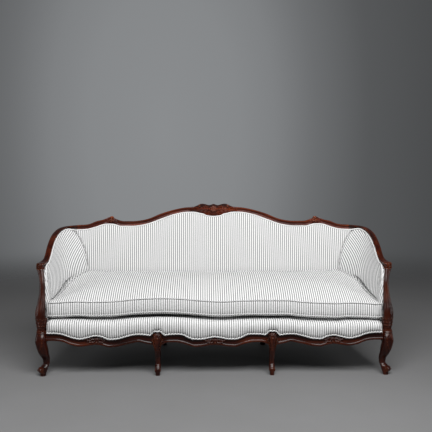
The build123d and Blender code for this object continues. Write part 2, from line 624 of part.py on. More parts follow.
def back_slab(profile):
    """A YZ profile carried across the back, trimmed under the crest rail and at the arm seams."""
    slab = Pos(-CREST_HALF, 0, 0) * extrude(profile, amount=2 * CREST_HALF, dir=(1, 0, 0))
    edge = crest_edge(2, -SOFT)
    ends = [(edge[-1][0], 0, PAD_FOOT_Z), (edge[0][0], 0, PAD_FOOT_Z)]
    under = make_face([Spline(*edge), Line(edge[-1], ends[0]), Line(*ends), Line(ends[1], edge[0])])
    inner, outer = arm_inside(len(ARM_INSIDE) - 1), arm_point(0)
    along = Vector(outer.X - inner.X, outer.Y - inner.Y, 0).normalized()
    aside = Vector(-along.Y, along.X, 0) * SOFT
    start, far = inner - along * CREST_HALF / 2 + aside, inner + along * CREST_HALF / 2 + aside
    plan = [(start.X, start.Y), (far.X, far.Y), (-far.X, far.Y), (-start.X, start.Y)]
    between = plan_prism(plan, PAD_FOOT_Z, CREST_END_Z + 200)
    return slab & front_prism(under, 0, 2 * REAR_FOOT_Y) & between


def back_pad():
    """The back's stuffing and cover under the crest rail, mitred to the arm pads."""
    top_z = CREST_END_Z + 200
    middle_z = (PAD_FOOT_Z + top_z) / 2
    low, middle, high = [(0, back_inside_y(z), z) for z in (PAD_FOOT_Z, middle_z, top_z)]
    rear_high = (0, back_frame_y(top_z), top_z)
    rear_low = (0, back_frame_y(PAD_FOOT_Z), PAD_FOOT_Z)
    return back_slab(make_face([
        ThreePointArc(low, middle, high), Line(high, rear_high), Line(rear_high, rear_low), Line(rear_low, low)
    ]))


def back_hessian():
    """The hessian between the back pad and its webbing."""
    top_z = CREST_END_Z + 200
    corners = [(0, back_frame_y(z) + out, z) for z, out in (
        (PAD_FOOT_Z, TOUCH), (top_z, TOUCH), (top_z, TOUCH + HESSIAN_THICK), (PAD_FOOT_Z, TOUCH + HESSIAN_THICK)
    )]
    return back_slab(make_face(Polyline(*corners, close=True)))


def arm_pad_stations():
    """Inside foot and rail point of each ring of the arm pad, from the post round to the seam."""
    stations = [(arm_inside(0), Vector(CORNER_LEG_X + 3, ARM_IN_Y, ARM_END_Z))]
    for inside_index, rail_index in enumerate(PAD_RAIL_INDEX, start=1):
        stations.append((arm_inside(inside_index), arm_point(rail_index)))
    return stations


def arm_pad_foot(inner, direction):
    """How thick the arm pad is at its foot: as far as the tack rail, or the webbing of the back."""
    thick = SOFT
    while thick < 400:
        x, y = inner.X + direction.X * thick, inner.Y + direction.Y * thick
        if x > arm_tack_inside_x(y) - SOFT or y > back_frame_y(PAD_FOOT_Z):
            return thick
        thick += 0.5
    return thick


def arm_pad_ring(inner, rail):
    """A ring of the arm pad: upright at the seat, curving outwards to the rail."""
    flat = Vector(rail.X - inner.X, rail.Y - inner.Y, 0)
    direction = flat.normalized()
    top_z = rail.Z - 4
    half_rail = ARM_RAIL_WIDE / 2
    if rail.Y < arm_point(8).Y:
        half_rail = ARM_END_WIDE / 2
    elif rail.X <= CREST_HALF:
        half_rail = CREST_DEEP / 2 / direction.Y
    top_out = flat.length - half_rail - PAD_RAIL_GAP
    top_in = top_out - PAD_EDGE

    def place(out, z):
        return (inner.X + direction.X * out, inner.Y + direction.Y * out, z)

    foot = arm_pad_foot(inner, direction)
    middle_z = (PAD_FOOT_Z + top_z) / 2
    return make_face([
        ThreePointArc(place(0, PAD_FOOT_Z), place(top_in / 4, middle_z), place(top_in, top_z)),
        Line(place(top_in, top_z), place(top_out, top_z)),
        Line(place(top_out, top_z), place(foot, TACK_TOP_Z + SOFT)),
        Line(place(foot, TACK_TOP_Z + SOFT), place(foot, PAD_FOOT_Z)),
        Line(place(foot, PAD_FOOT_Z), place(0, PAD_FOOT_Z)),
    ])


def arm_pad(post, show_rail):
    """An arm's stuffing and cover, its edges following the post and the arm rail."""
    rings = [arm_pad_ring(inner, rail) for inner, rail in arm_pad_stations()]
    return largest(loft(rings, ruled=True) - post - show_rail)


def thin_loft(rows, thick):
    """A cover stretched between lower and upper points: rows of (lower, upper, outward)."""
    faces = []
    for low, high, outward in rows:
        away = outward.normalized() * thick
        faces.append(make_face(Polyline(low, high, high + away, low + away, close=True)))
    return loft(faces, ruled=True)


def outside_arm_cover(post, stile, show_rail):
    """The outside cover of an arm, from the tack rail up to the arm rail and round the stile."""
    foot_z = FRAME_TOP_Z + TOUCH
    under_rail = ARM_RAIL_HIGH / 2 + 2
    front_y = FRONT_BLOCK_BACK_Y - 18
    first = arm_point(9)
    rows = [(
        Vector(arm_tack_inside_x(front_y) + TACK_RAIL_THICK + TOUCH, front_y, foot_z),
        Vector(first.X + 4, front_y, POST_TOP_Z - 6), Vector(1, 0, 0),
    )]
    for rail_index in (8, 6, 5, 4, 3):
        rail = arm_point(rail_index)
        low = Vector(arm_tack_inside_x(rail.Y) + TACK_RAIL_THICK + TOUCH, rail.Y, foot_z)
        rows.append((low, Vector(rail.X + 4, rail.Y, rail.Z - under_rail), Vector(1, 0, 0)))
    side_x = REAR_LEG_X + MID_BLOCK_WIDE / 2
    back_y = REAR_BLOCK_Y + BLOCK_DEEP / 2
    corner, end = arm_point(2), arm_point(1)
    rows.append((
        Vector(side_x, back_y - BLOCK_DEEP / 2, foot_z),
        Vector(corner.X + 2, corner.Y + 6, corner.Z - under_rail), Vector(1, 0.5, 0),
    ))
    rows.append((
        Vector(REAR_LEG_X + 8, back_y + TOUCH, foot_z),
        Vector(end.X + 8, end.Y + 14, end.Z - under_rail), Vector(0.3, 1, 0),
    ))
    return largest(thin_loft(rows, COVER_THICK) - post - stile - show_rail)


def outside_back_cover(crest, stile):
    """The outside cover of the back, nailed behind the back rail, the stiles and the crest rail."""
    low_z, bend_z, top_z = FRAME_BOTTOM_Z + 8, CREST_END_Z - 14, CREST_END_Z + 130
    bend_y = back_frame_y(bend_z) + BACK_LAYERS + UPRIGHT_THICK + 1
    low_y = REAR_BLOCK_Y + BLOCK_DEEP / 2 + TOUCH
    high_y = back_frame_y(top_z) + BACK_LAYERS + UPRIGHT_THICK + 1
    front = [(0, low_y, low_z), (0, bend_y, bend_z), (0, high_y, top_z)]
    rear = [(0, y + COVER_THICK, z) for _, y, z in reversed(front)]
    half = REAR_LEG_X - 6
    profile = make_face(Polyline(*front, *rear, close=True))
    slab = Pos(-half, 0, 0) * extrude(profile, amount=2 * half, dir=(1, 0, 0))
    edge = crest_edge(2, 6)
    edge = [(-half, 0, edge[0][2]), *edge[1:-1], (half, 0, edge[-1][2])]
    ends = [(half, 0, low_z), (-half, 0, low_z)]
    under_crest = make_face([Spline(*edge), Line(edge[-1], ends[0]), Line(*ends), Line(ends[1], edge[0])])
    cover = slab & front_prism(under_crest, 0, 2 * REAR_FOOT_Y)
    return largest(cover - crest - stile - mirrored(stile))


def arm_webbing():
    """Upright jute strips of an arm, from its tack rail up to the arm rail."""
    strips = []
    for rail_index in (8, 6, 5, 4):
        rail = arm_point(rail_index)
        low_x, high_x = arm_tack_inside_x(rail.Y) + 6, rail.X - ARM_RAIL_WIDE / 2 + 7
        high_z = rail.Z - ARM_RAIL_HIGH / 2 - 14
        low_z = TACK_TOP_Z + TOUCH
        corners = [
            (low_x, 0, low_z), (high_x, 0, high_z), (high_x + WEB_THICK, 0, high_z), (low_x + WEB_THICK, 0, low_z)
        ]
        face = make_face(Polyline(*corners, close=True))
        strips.append(front_prism(face, rail.Y - ARM_WEB_WIDE / 2, rail.Y + ARM_WEB_WIDE / 2))
    return strips


def front_welt(outline, x_low, x_high):
    """The welt nailed along the front rail's upper edge."""
    line = bay_line(outline, x_low, x_high)
    band = [(x, top + WELT, top + TOUCH) for x, top, low in line]
    return front_prism(upright_face(band), APRON_FRONT_Y - 7, APRON_FRONT_Y + 9)


def back_webbing():
    """Upright jute strips of the back, nailed to the tack rail and the crest rail."""
    strips = []
    span = SEAM_X - 30
    low_z = PAD_FOOT_Z
    for index in range(BACK_WEB_COUNT):
        x = -span + 2 * span * (index + 0.5) / BACK_WEB_COUNT
        if abs(abs(x) - UPRIGHT_X) < (UPRIGHT_WIDE + WEB_WIDE) / 2 + 2:
            continue
        top_z = CREST_END_Z + min(crest_low(abs(x) - WEB_WIDE / 2), crest_low(abs(x) + WEB_WIDE / 2)) - 4
        out = HESSIAN_THICK + 2 * TOUCH
        corners = [(0, back_frame_y(z) + out + thick, z) for z, thick in (
            (low_z, 0), (top_z, 0), (top_z, WEB_THICK), (low_z, WEB_THICK)
        )]
        face = make_face(Polyline(*corners, close=True))
        strips.append(Pos(x - WEB_WIDE / 2, 0, 0) * extrude(face, amount=WEB_WIDE, dir=(1, 0, 0)))
    return strips


def crest_low(x):
    """Lower edge of the crest rail over its ends' centre height, read between the outline's points."""
    share = abs(x) / CREST_HALF
    for (a, _, low_a), (b, _, low_b) in zip(CREST_LINE, CREST_LINE[1:]):
        if a <= share <= b:
            return min(low_a, low_b)
    return CREST_LINE[-1][2]


# ---- Loose cushion ----
def cushion_section(x, back_y, fullness):
    """An upright front-to-back section: boxing at front and back, crowned top and underside."""
    front, low, seam = CUSHION_FRONT_Y, CUSHION_LOW_Z, CUSHION_SEAM_Z
    rear_seam = seam + (CUSHION_BACK_Z - seam) * fullness
    middle_y = front + (back_y - front) * CUSHION_PEAK_SHARE
    peak = seam + (CUSHION_PEAK_Z - seam) * fullness
    belly = low - (low - DECK_TOP_Z - REST) * min(1.0, fullness * BELLY_SPREAD)
    corners = [(x, front, low), (x, front, seam), (x, back_y, rear_seam), (x, back_y, low)]
    return make_face([
        Line(corners[0], corners[1]),
        ThreePointArc(corners[1], (x, middle_y, peak), corners[2]),
        Line(corners[2], corners[3]),
        ThreePointArc(corners[3], (x, middle_y, belly), corners[0]),
    ])


def seat_cushion():
    """The long loose cushion, filled to a crown and drawn in at its ends."""
    right = sorted(seat_plan(CUSHION_CLEAR, CUSHION_FRONT_Y, SEAM_Y - CUSHION_CLEAR)[1:])
    seam_x, back_y = right[0]
    stations = [(share * seam_x, back_y, 1.0) for share in CUSHION_STRAIGHT]
    stations += [(x, y, full) for (x, y), full in zip(right, CUSHION_FULLNESS)]
    both = [(-x, y, full) for x, y, full in reversed(stations[1:])] + stations
    return loft([cushion_section(*station) for station in both])


# ---- Corner blocks, screws, bottom cloth ----
class Screw:
    """A round-head wood screw: where its head seats and which way it is driven."""

    def __init__(self, seat, drive):
        self.seat = Plane(origin=seat, z_dir=drive)

    def solid(self, grow=0.0):
        shank = self.seat * Pos(0, 0, SCREW_LONG / 2) * Cylinder(SCREW_RADIUS + grow, SCREW_LONG + 2 * grow)
        if grow:
            return shank
        return shank + self.seat * Pos(0, 0, -SCREW_HEAD_HIGH / 2) * Cylinder(SCREW_HEAD_RADIUS, SCREW_HEAD_HIGH)


def corner_block(corner, rail_y, inward):
    """A glue block fitted to a leg's corner and two rails, and its screw into the leg.

    inward is 1 where the seat lies behind the rail and -1 where it lies in front of it.
    """
    leg_x, leg_y = corner
    reach_y = leg_y + inward * CORNER_BLOCK_REACH

    def side_x(y):
        return side_line_x(y) + 5 - SIDE_BAR_THICK - 2

    along_rail = (leg_x - CORNER_BLOCK_REACH, rail_y + inward * CORNER_BLOCK_EDGE)
    along_side = (side_x(reach_y) - CORNER_BLOCK_EDGE, reach_y)
    plan = [(along_rail[0], rail_y + inward * TOUCH), (leg_x - TOUCH, rail_y + inward * TOUCH)]
    if rail_y != leg_y:
        plan.append((leg_x - TOUCH, leg_y + inward * TOUCH))
    plan += [(side_x(leg_y), leg_y + inward * TOUCH), (side_x(reach_y), reach_y), along_side, along_rail]
    solid = plan_prism(plan, FRAME_BOTTOM_Z + BLOCK_FOOT, FRAME_TOP_Z - BLOCK_HEAD)
    middle = Vector((along_rail[0] + along_side[0]) / 2, (along_rail[1] + along_side[1]) / 2, SCREW_Z)
    drive = (Vector(leg_x + SCREW_AIM, leg_y, SCREW_Z) - middle).normalized()
    return solid, Screw(middle - drive, drive)


def bottom_cloth(legs):
    """The dust cloth under the seat frame, notched round the leg blocks."""
    right = [
        (side_line_x(BAR_FRONT_Y) - 8, BAR_FRONT_Y + 8), (side_line_x(BACK_RAIL_BACK_Y) - 8, BACK_RAIL_BACK_Y - 8),
    ]
    cloth = plan_prism(whole_plan(right), FRAME_BOTTOM_Z - 1 - TOUCH, FRAME_BOTTOM_Z - TOUCH)
    for x_low, x_high, y_low, y_high in legs:
        cloth = cloth - block(x_low - 2, x_high + 2, y_low - 2, y_high + 2, 0, FRAME_TOP_Z)
    return largest(cloth)


def tack(x, y):
    """An upholstery tack driven up through the bottom cloth."""
    head_top = FRAME_BOTTOM_Z - 1 - 2 * TOUCH
    head = Pos(x, y, head_top - TACK_HEAD_HIGH / 2) * Cylinder(TACK_HEAD_RADIUS, TACK_HEAD_HIGH)
    shank = Pos(x, y, head_top + TACK_SHANK_LONG / 2) * Cylinder(TACK_SHANK_RADIUS, TACK_SHANK_LONG)
    return head + shank


def leg_block_plans():
    plans = []
    for side in (-1, 1):
        for x, half, y in (
            (CORNER_LEG_X, CORNER_BLOCK_WIDE / 2, FRONT_BLOCK_Y), (MID_LEG_X, MID_BLOCK_WIDE / 2, FRONT_BLOCK_Y),
            (REAR_LEG_X, MID_BLOCK_WIDE / 2, REAR_BLOCK_Y), (MID_LEG_X, MID_BLOCK_WIDE / 2, REAR_BLOCK_Y),
        ):
            plans.append((side * x - half, side * x + half, y - BLOCK_DEEP / 2, y + BLOCK_DEEP / 2))
    return plans


def tack_places():
    """Places of the tacks along the front and back rails, clear of the leg blocks."""
    places = []
    rail_y = (BAR_FRONT_Y + BAR_BACK_Y) / 2
    back_y = BACK_RAIL_BACK_Y - 20
    count = int(2 * (CORNER_LEG_X - 60) / TACK_PITCH)
    for y, reach in ((rail_y, CORNER_LEG_X - 55), (back_y, REAR_LEG_X - 55)):
        for index in range(count + 1):
            x = -reach + 2 * reach * index / count
            if abs(abs(x) - MID_LEG_X) > MID_BLOCK_WIDE / 2 + 2 * TACK_HEAD_RADIUS:
                places.append((x, y))
    return places


# ---- Assembly ----
def bored(piece, dowels):
    """A piece with the bores of its dowels."""
    for dowel in dowels:
        piece = piece - dowel.solid(FIT)
    return piece


def save(name, shape):
    solids = shape if isinstance(shape, list) else [shape]
    solids = [solid for item in solids for solid in item.solids()]
    whole = solids[0] if len(solids) == 1 else Compound(children=solids)
    export_step(whole, f"parts/{name}.step")


def save_pair(name, right):
    save(f"{name}_right", right)
    save(f"{name}_left", mirrored(right))


def main():
    os.makedirs("parts", exist_ok=True)
    dowels = right_side_dowels()
    corner_inner = CORNER_LEG_X - CORNER_BLOCK_WIDE / 2
    mid_low, mid_high = MID_LEG_X - MID_BLOCK_WIDE / 2, MID_LEG_X + MID_BLOCK_WIDE / 2
    rear_inner = REAR_LEG_X - MID_BLOCK_WIDE / 2

    # Show-wood above the seat.
    crest = crest_rail()
    rail = arm_rail()
    post = arm_post()
    stile_z = CREST_END_Z - ARM_RAIL_HIGH / 2 + 2
    stile_dowel = Dowel(arm_point(1).X + 5, arm_point(1).Y - 3, stile_z, (0, 0, 1), SMALL_DOWEL_RADIUS, 10)
    upright_z = CREST_END_Z + crest_low(UPRIGHT_X) + 2
    upright_y = back_frame_y(upright_z) + BACK_LAYERS + UPRIGHT_THICK / 2
    upright_dowel = Dowel(UPRIGHT_X, upright_y, upright_z, (0, 0, 1), SMALL_DOWEL_RADIUS, 10)
    corner_rear = rear_corner_leg(rail)
    save_pair("arm_post", bored(post, dowels["post"] + dowels["arm"]))
    save_pair("arm_rail", bored(rail, dowels["arm"] + dowels["crest"] + [stile_dowel]))
    crest_dowels = [dowel.solid(FIT) for dowel in dowels["crest"] + [upright_dowel]]
    bored_crest = crest
    for bore in crest_dowels:
        bored_crest = bored_crest - bore - mirrored(bore)
    save("crest_rail", bored_crest)

    # Legs.
    front_corner = (corner_inner, FRONT_BLOCK_BACK_Y)
    block_front, front_screw = corner_block(front_corner, BAR_BACK_Y, 1)
    block_rear, rear_screw = corner_block((rear_inner, REAR_BLOCK_FRONT_Y), BACK_RAIL_FRONT_Y, -1)
    leg_bores = dowels["front"] + dowels["side"] + dowels["post"] + [front_screw]
    save_pair("front_leg", bored(corner_leg(), leg_bores))
    save_pair("front_mid_leg", bored(mid_leg(), dowels["front"] + dowels["brace"]))
    save_pair("rear_leg", bored(corner_rear, dowels["back"] + dowels["side"] + [stile_dowel, rear_screw]))
    save_pair("rear_mid_leg", bored(rear_leg(MID_LEG_X), dowels["back"] + dowels["brace"]))

    # Seat frame.
    ornament_x = mid_high + ORNAMENT_SHARE * (corner_inner - mid_high)
    outer = bored(front_rail(OUTER_BAY, mid_high, corner_inner, ornament_x), dowels["front"])
    centre = bored(front_rail(centre_outline(), -mid_low, mid_low, 0), dowels["front"])
    centre = mirrored(bored(mirrored(centre), dowels["front"]))
    save_pair("front_rail", outer)
    save("front_rail_centre", centre)
    save_pair("back_rail", bored(back_rail(mid_high, rear_inner), dowels["back"]))
    back_centre = bored(back_rail(-mid_low, mid_low), dowels["back"])
    save("back_rail_centre", mirrored(bored(mirrored(back_centre), dowels["back"])))
    save_pair("side_rail", bored(side_rail(), dowels["side"]))
    save_pair("seat_brace", bored(seat_brace(), dowels["brace"]))

    # Back and arm frame.
    upright = bored(back_upright(crest), [upright_dowel])
    save_pair("back_upright", upright)
    save("back_tack_rail", back_tack_rail(corner_rear))
    save_pair("arm_tack_rail", arm_tack_rail(post, corner_rear))

    # Fasteners.
    pins = [dowel.solid() for group in dowels.values() for dowel in group]
    pins += [stile_dowel.solid(), upright_dowel.solid()]
    save("frame_dowels", pins + [mirrored(pin) for pin in pins])
    blocks = [block_front - front_screw.solid(FIT), block_rear - rear_screw.solid(FIT)]
    save("corner_blocks", blocks + [mirrored(item) for item in blocks])
    screws = [front_screw.solid(), rear_screw.solid()]
    save("corner_block_screws", screws + [mirrored(screw) for screw in screws])

    # Seat support.
    springs = [zigzag_spring(x) for x in spring_places()]
    save("zigzag_springs", springs)
    clips = []
    for x in spring_places():
        clips += [spring_clip(x, FRONT_CLIP_Y, -1), spring_clip(x, BACK_CLIP_Y, 1)]
    save("spring_clips", clips)
    save("seat_hessian", seat_hessian())
    tacks = [tack(x, y) for x, y in tack_places()]
    save("bottom_cloth", bottom_cloth(leg_block_plans()))
    save("bottom_cloth_tacks", tacks)

    # Upholstery.
    save("seat_deck", seat_deck())
    save("back_pad", back_pad())
    save("back_hessian", back_hessian())
    save("back_webbing", back_webbing())
    save_pair("arm_webbing", arm_webbing())
    save_pair("arm_pad", arm_pad(post, rail))
    save_pair("outside_arm_cover", outside_arm_cover(post, corner_rear, rail))
    save("outside_back_cover", outside_back_cover(crest, corner_rear))
    outer_welt = front_welt(OUTER_BAY, mid_high, corner_inner)
    centre_welt = front_welt(centre_outline(), -mid_low, mid_low)
    save("front_rail_welt", [outer_welt, mirrored(outer_welt), centre_welt])
    save("seat_cushion", seat_cushion())


if __name__ == "__main__":
    main()
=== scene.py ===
"""Looks of a carved cabriole sofa in striped ticking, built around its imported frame."""

from __future__ import annotations

import json
import logging
import math
from dataclasses import dataclass
from enum import Enum
from typing import Callable, Iterable, Sequence

import bmesh
import bpy
from mathutils import Matrix, Vector, noise

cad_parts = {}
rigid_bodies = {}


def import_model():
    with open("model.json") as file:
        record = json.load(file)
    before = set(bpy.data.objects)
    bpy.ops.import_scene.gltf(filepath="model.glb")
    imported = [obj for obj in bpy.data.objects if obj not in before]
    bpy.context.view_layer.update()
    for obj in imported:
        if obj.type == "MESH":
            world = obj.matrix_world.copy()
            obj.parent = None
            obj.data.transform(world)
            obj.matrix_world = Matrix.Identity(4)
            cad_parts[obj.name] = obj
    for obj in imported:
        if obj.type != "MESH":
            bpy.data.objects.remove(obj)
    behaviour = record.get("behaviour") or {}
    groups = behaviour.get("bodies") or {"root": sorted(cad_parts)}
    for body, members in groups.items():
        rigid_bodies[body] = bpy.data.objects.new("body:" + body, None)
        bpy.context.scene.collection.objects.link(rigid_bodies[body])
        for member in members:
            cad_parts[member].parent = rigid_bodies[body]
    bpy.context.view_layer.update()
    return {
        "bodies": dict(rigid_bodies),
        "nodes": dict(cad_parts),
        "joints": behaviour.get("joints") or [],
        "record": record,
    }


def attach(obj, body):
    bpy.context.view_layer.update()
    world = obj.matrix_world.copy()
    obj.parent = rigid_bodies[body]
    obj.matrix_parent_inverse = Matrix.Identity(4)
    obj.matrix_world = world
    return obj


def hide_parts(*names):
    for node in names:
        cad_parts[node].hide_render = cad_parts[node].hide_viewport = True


MM = 0.001
STRIPE_PITCH = 12.7 * MM
MID_LEG_X = 332  # millimetres from the centre to a middle leg's centre
BLOCK_TOP = 262  # height of the leg blocks and rails, in millimetres
SIDES = {"left": -1.0, "right": 1.0}
UP, RIGHT, FRONT = Vector((0, 0, 1)), Vector((1, 0, 0)), Vector((0, -1, 0))
LOG = logging.getLogger("cabriole_sofa")

Mesh = bmesh.types.BMesh
Item = bpy.types.Object
Ring = list[Vector]
Rows = Sequence[Sequence[float]]
Triple = tuple[float, float, float]
ClothRule = Callable[[int, int, Vector], tuple[float, float]]


# ---- Lines and readings ----
class Gauge:
    """A smooth reading of one number from another, through a few stated pairs."""

    def __init__(self, pairs: Rows) -> None:
        """Keeps the pairs and works out the slope at each of them."""
        self.pairs = sorted(pairs)
        xs, ys = zip(*self.pairs)
        steps = [(ys[i + 1] - ys[i]) / (xs[i + 1] - xs[i]) for i in range(len(xs) - 1)]
        inner = [(a + b) / 2 if a * b > 0 else 0.0 for a, b in zip(steps, steps[1:])]
        self.slopes = [steps[0], *inner, steps[-1]]

    def __call__(self, x: float) -> float:
        """The reading at x; past the ends it stays as it is there."""
        if x <= self.pairs[0][0]:
            return self.pairs[0][1]
        if x >= self.pairs[-1][0]:
            return self.pairs[-1][1]
        index = max(i for i, (at, _) in enumerate(self.pairs[:-1]) if at <= x)
        (x0, y0), (x1, y1) = self.pairs[index], self.pairs[index + 1]
        wide = x1 - x0
        t = (x - x0) / wide
        m0, m1 = self.slopes[index] * wide, self.slopes[index + 1] * wide
        return (
            (2 * t**3 - 3 * t**2 + 1) * y0 + (t**3 - 2 * t**2 + t) * m0
            + (3 * t**2 - 2 * t**3) * y1 + (t**3 - t**2) * m1
        )


class Track:
    """A smooth line through a few points, read by the share of its length."""

    def __init__(self, points: Iterable[Sequence[float]], steps: int = 14) -> None:
        """Draws the line.

        Args:
            points: the places it passes through.
            steps: short stretches between two of them.
        """
        knots = [Vector(point) for point in points]
        knots = [2 * knots[0] - knots[1], *knots, 2 * knots[-1] - knots[-2]]
        self.dots: Ring = []
        for a, b, c, d in zip(knots, knots[1:], knots[2:], knots[3:]):
            for step in range(steps):
                t = step / steps
                self.dots.append(
                    0.5 * (2 * b + (c - a) * t + (2 * a - 5 * b + 4 * c - d) * t * t + (3 * b - a - 3 * c + d) * t**3)
                )
        self.dots.append(knots[-2])
        self.run = [0.0]
        for a, b in zip(self.dots, self.dots[1:]):
            self.run.append(self.run[-1] + (b - a).length)

    @property
    def length(self) -> float:
        """The line's whole length in metres."""
        return self.run[-1]

    def at(self, share: float) -> Vector:
        """The place at a share of the length."""
        want = min(max(share, 0.0), 1.0) * self.length
        index = min(max(sum(1 for run in self.run if run <= want) - 1, 0), len(self.dots) - 2)
        span = self.run[index + 1] - self.run[index]
        return self.dots[index].lerp(self.dots[index + 1], (want - self.run[index]) / max(span, 1e-9))

    def heading(self, share: float) -> Vector:
        """The direction of the line at a share of the length."""
        near = 0.004
        return (self.at(share + near) - self.at(share - near)).normalized()


def spread(count: int, low: float = 0.0, high: float = 1.0) -> list[float]:
    """Evenly spaced numbers from low to high, both included."""
    return [low + (high - low) * index / (count - 1) for index in range(count)]


def around(count: int) -> list[float]:
    """Evenly spaced angles of a full turn."""
    return spread(count + 1, 0, 2 * math.pi)[:-1]


def smoothstep(low: float, high: float, x: float) -> float:
    """A soft step from 0 at low to 1 at high."""
    t = min(max((x - low) / (high - low), 0.0), 1.0)
    return t * t * (3 - 2 * t)


# ---- Shader sums ----
class Channel:
    """A node's output that Python's operators can do sums with."""

    def __init__(self, recipe: Recipe, socket: bpy.types.NodeSocket) -> None:
        """Keeps the recipe and the output."""
        self.recipe = recipe
        self.socket = socket

    def _sum(self, operation: str, *values: Channel | float) -> Channel:
        """One Math node on some values."""
        node = self.recipe.add("ShaderNodeMath", {"operation": operation}, *values)
        return Channel(self.recipe, node.outputs[0])

    def __add__(self, other: Channel | float) -> Channel:
        """Sum."""
        return self._sum("ADD", self, other)

    def __sub__(self, other: Channel | float) -> Channel:
        """Difference."""
        return self._sum("SUBTRACT", self, other)

    def __rsub__(self, other: float) -> Channel:
        """Difference from a number."""
        return self._sum("SUBTRACT", other, self)

    def __mul__(self, other: Channel | float) -> Channel:
        """Product."""
        return self._sum("MULTIPLY", self, other)

    def __truediv__(self, other: Channel | float) -> Channel:
        """Quotient."""
        return self._sum("DIVIDE", self, other)

    __radd__ = __add__
    __rmul__ = __mul__

    def __abs__(self) -> Channel:
        """Size without sign."""
        return self._sum("ABSOLUTE", self)

    def root(self) -> Channel:
        """Square root."""
        return self._sum("SQRT", self)

    def larger(self, other: Channel) -> Channel:
        """The larger of two values."""
        return self._sum("MAXIMUM", self, other)

    def wave(self, length: float) -> Channel:
        """A sine of this wavelength."""
        return self._sum("SINE", self * (2 * math.pi / length))

    def part(self) -> Channel:
        """What stands after the decimal point."""
        return self._sum("FRACT", self)

    def ramp(self, low: float, high: float, start: float = 0.0, end: float = 1.0) -> Channel:
        """A soft step from start at low to end at high."""
        node = self.recipe.add(
            "ShaderNodeMapRange", {"interpolation_type": "SMOOTHSTEP"},
            **{"Value": self, "From Min": low, "From Max": high, "To Min": start, "To Max": end},
        )
        return Channel(self.recipe, node.outputs["Result"])


Value = Channel | float | Sequence[float]


class Recipe:
    """A material under construction."""

    def __init__(self, name: str) -> None:
        """Starts an empty material with its surface shader."""
        self.material = bpy.data.materials.new(name)
        self.material.use_nodes = True
        self.tree = self.material.node_tree
        self.tree.nodes.clear()
        self.shader = self.add("ShaderNodeBsdfPrincipled")
        self.add("ShaderNodeOutputMaterial", None, **{"Surface": Channel(self, self.shader.outputs[0])})

    def add(self, kind: str, settings: dict | None = None, *ordered: Value, **named: Value) -> bpy.types.Node:
        """Makes a node.

        Args:
            kind: the node's type.
            settings: its properties, set first.
            ordered: values or links of its first sockets.
            named: values or links of sockets by name.

        Returns:
            The node.
        """
        node = self.tree.nodes.new(kind)
        for key, value in (settings or {}).items():
            setattr(node, key, value)
        for socket, value in [*zip(node.inputs, ordered), *((node.inputs[k], v) for k, v in named.items())]:
            self._fill(socket, value)
        return node

    def _fill(self, socket: bpy.types.NodeSocket, value: Value) -> None:
        """Links a socket or sets its constant."""
        if isinstance(value, Channel):
            self.tree.links.new(value.socket, socket)
        else:
            socket.default_value = value

    def source(self, kind: str, output: str, **settings: str) -> Channel:
        """An output of a node that has no inputs."""
        return Channel(self, self.add(kind, settings).outputs[output])

    def split(self, vector: Channel) -> list[Channel]:
        """The three parts of a vector."""
        return [Channel(self, socket) for socket in self.add("ShaderNodeSeparateXYZ", None, vector).outputs]

    def coordinates(self, scale: Sequence[float] = (1, 1, 1)) -> Channel:
        """Object coordinates, scaled."""
        place = self.source("ShaderNodeTexCoord", "Object")
        return Channel(self, self.add("ShaderNodeMapping", None, **{"Vector": place, "Scale": scale}).outputs[0])

    def colours(self, factor: Channel, stops: Sequence[tuple[float, Triple]]) -> Channel:
        """A colour for each value of the factor, between stops given as a place and a colour."""
        node = self.add("ShaderNodeValToRGB", None, factor)
        elements = node.color_ramp.elements
        while len(elements) < len(stops):
            elements.new(0.5)
        for element, (place, colour) in zip(elements, stops):
            element.position = place
            element.color = (*colour, 1.0)
        return Channel(self, node.outputs[0])

    def grain(self, vector: Channel, size: float, detail: float = 3.0) -> Channel:
        """Noise with features of a size in metres."""
        node = self.add("ShaderNodeTexNoise", None, **{"Vector": vector, "Scale": 1 / size, "Detail": detail})
        return Channel(self, node.outputs[0])

    def blend(self, factor: Value, first: Value, second: Value, mode: str = "MIX") -> Channel:
        """A mix of two colours; the Mix node's colour sockets are its inputs 6 and 7 and its output 2."""
        node = self.add("ShaderNodeMix", {"data_type": "RGBA", "blend_type": mode}, factor)
        for index, value in ((6, first), (7, second)):
            self._fill(node.inputs[index], value if isinstance(value, Channel) else (*value, 1.0))
        return Channel(self, node.outputs[2])

    def bump(self, height: Channel, depth: float) -> Channel:
        """A normal raised by a height, whose full step is depth metres."""
        node = self.add("ShaderNodeBump", None, **{"Height": height, "Distance": depth, "Strength": 1.0})
        return Channel(self, node.outputs[0])

    def finish(self, **sockets: Value) -> bpy.types.Material:
        """Fills the surface shader's sockets and hands over the material."""
        for name, value in sockets.items():
            self._fill(self.shader.inputs[name.replace("_", " ")], value)
        return self.material


class Backdrop(Recipe):
    """The studio's surroundings under construction."""

    def __init__(self, world: bpy.types.World) -> None:
        """Starts an empty world."""
        world.use_nodes = True
        self.tree = world.node_tree
        self.tree.nodes.clear()

    def grey(self, value: Channel) -> Channel:
        """A colour with the same value in its three parts."""
        node = self.add("ShaderNodeCombineXYZ", None, value, value, value)
        return Channel(self, node.outputs[0])

    def show(self, factor: Channel, *lights: bpy.types.Node) -> None:
        """Mixes two backgrounds into the surroundings."""
        first, second = (Channel(self, light.outputs[0]) for light in lights)
        mix = self.add("ShaderNodeMixShader", None, factor, first, second)
        self.add("ShaderNodeOutputWorld", None, Channel(self, mix.outputs[0]))


# ---- Finishes ----
class Grain(Enum):
    """The way a wooden piece's grain runs, as a stretch of the grain pattern."""

    ALONG_RAIL = (0.09, 1.0, 1.0)
    ALONG_ARM = (1.0, 0.09, 1.0)
    UPRIGHT = (1.0, 1.0, 0.09)


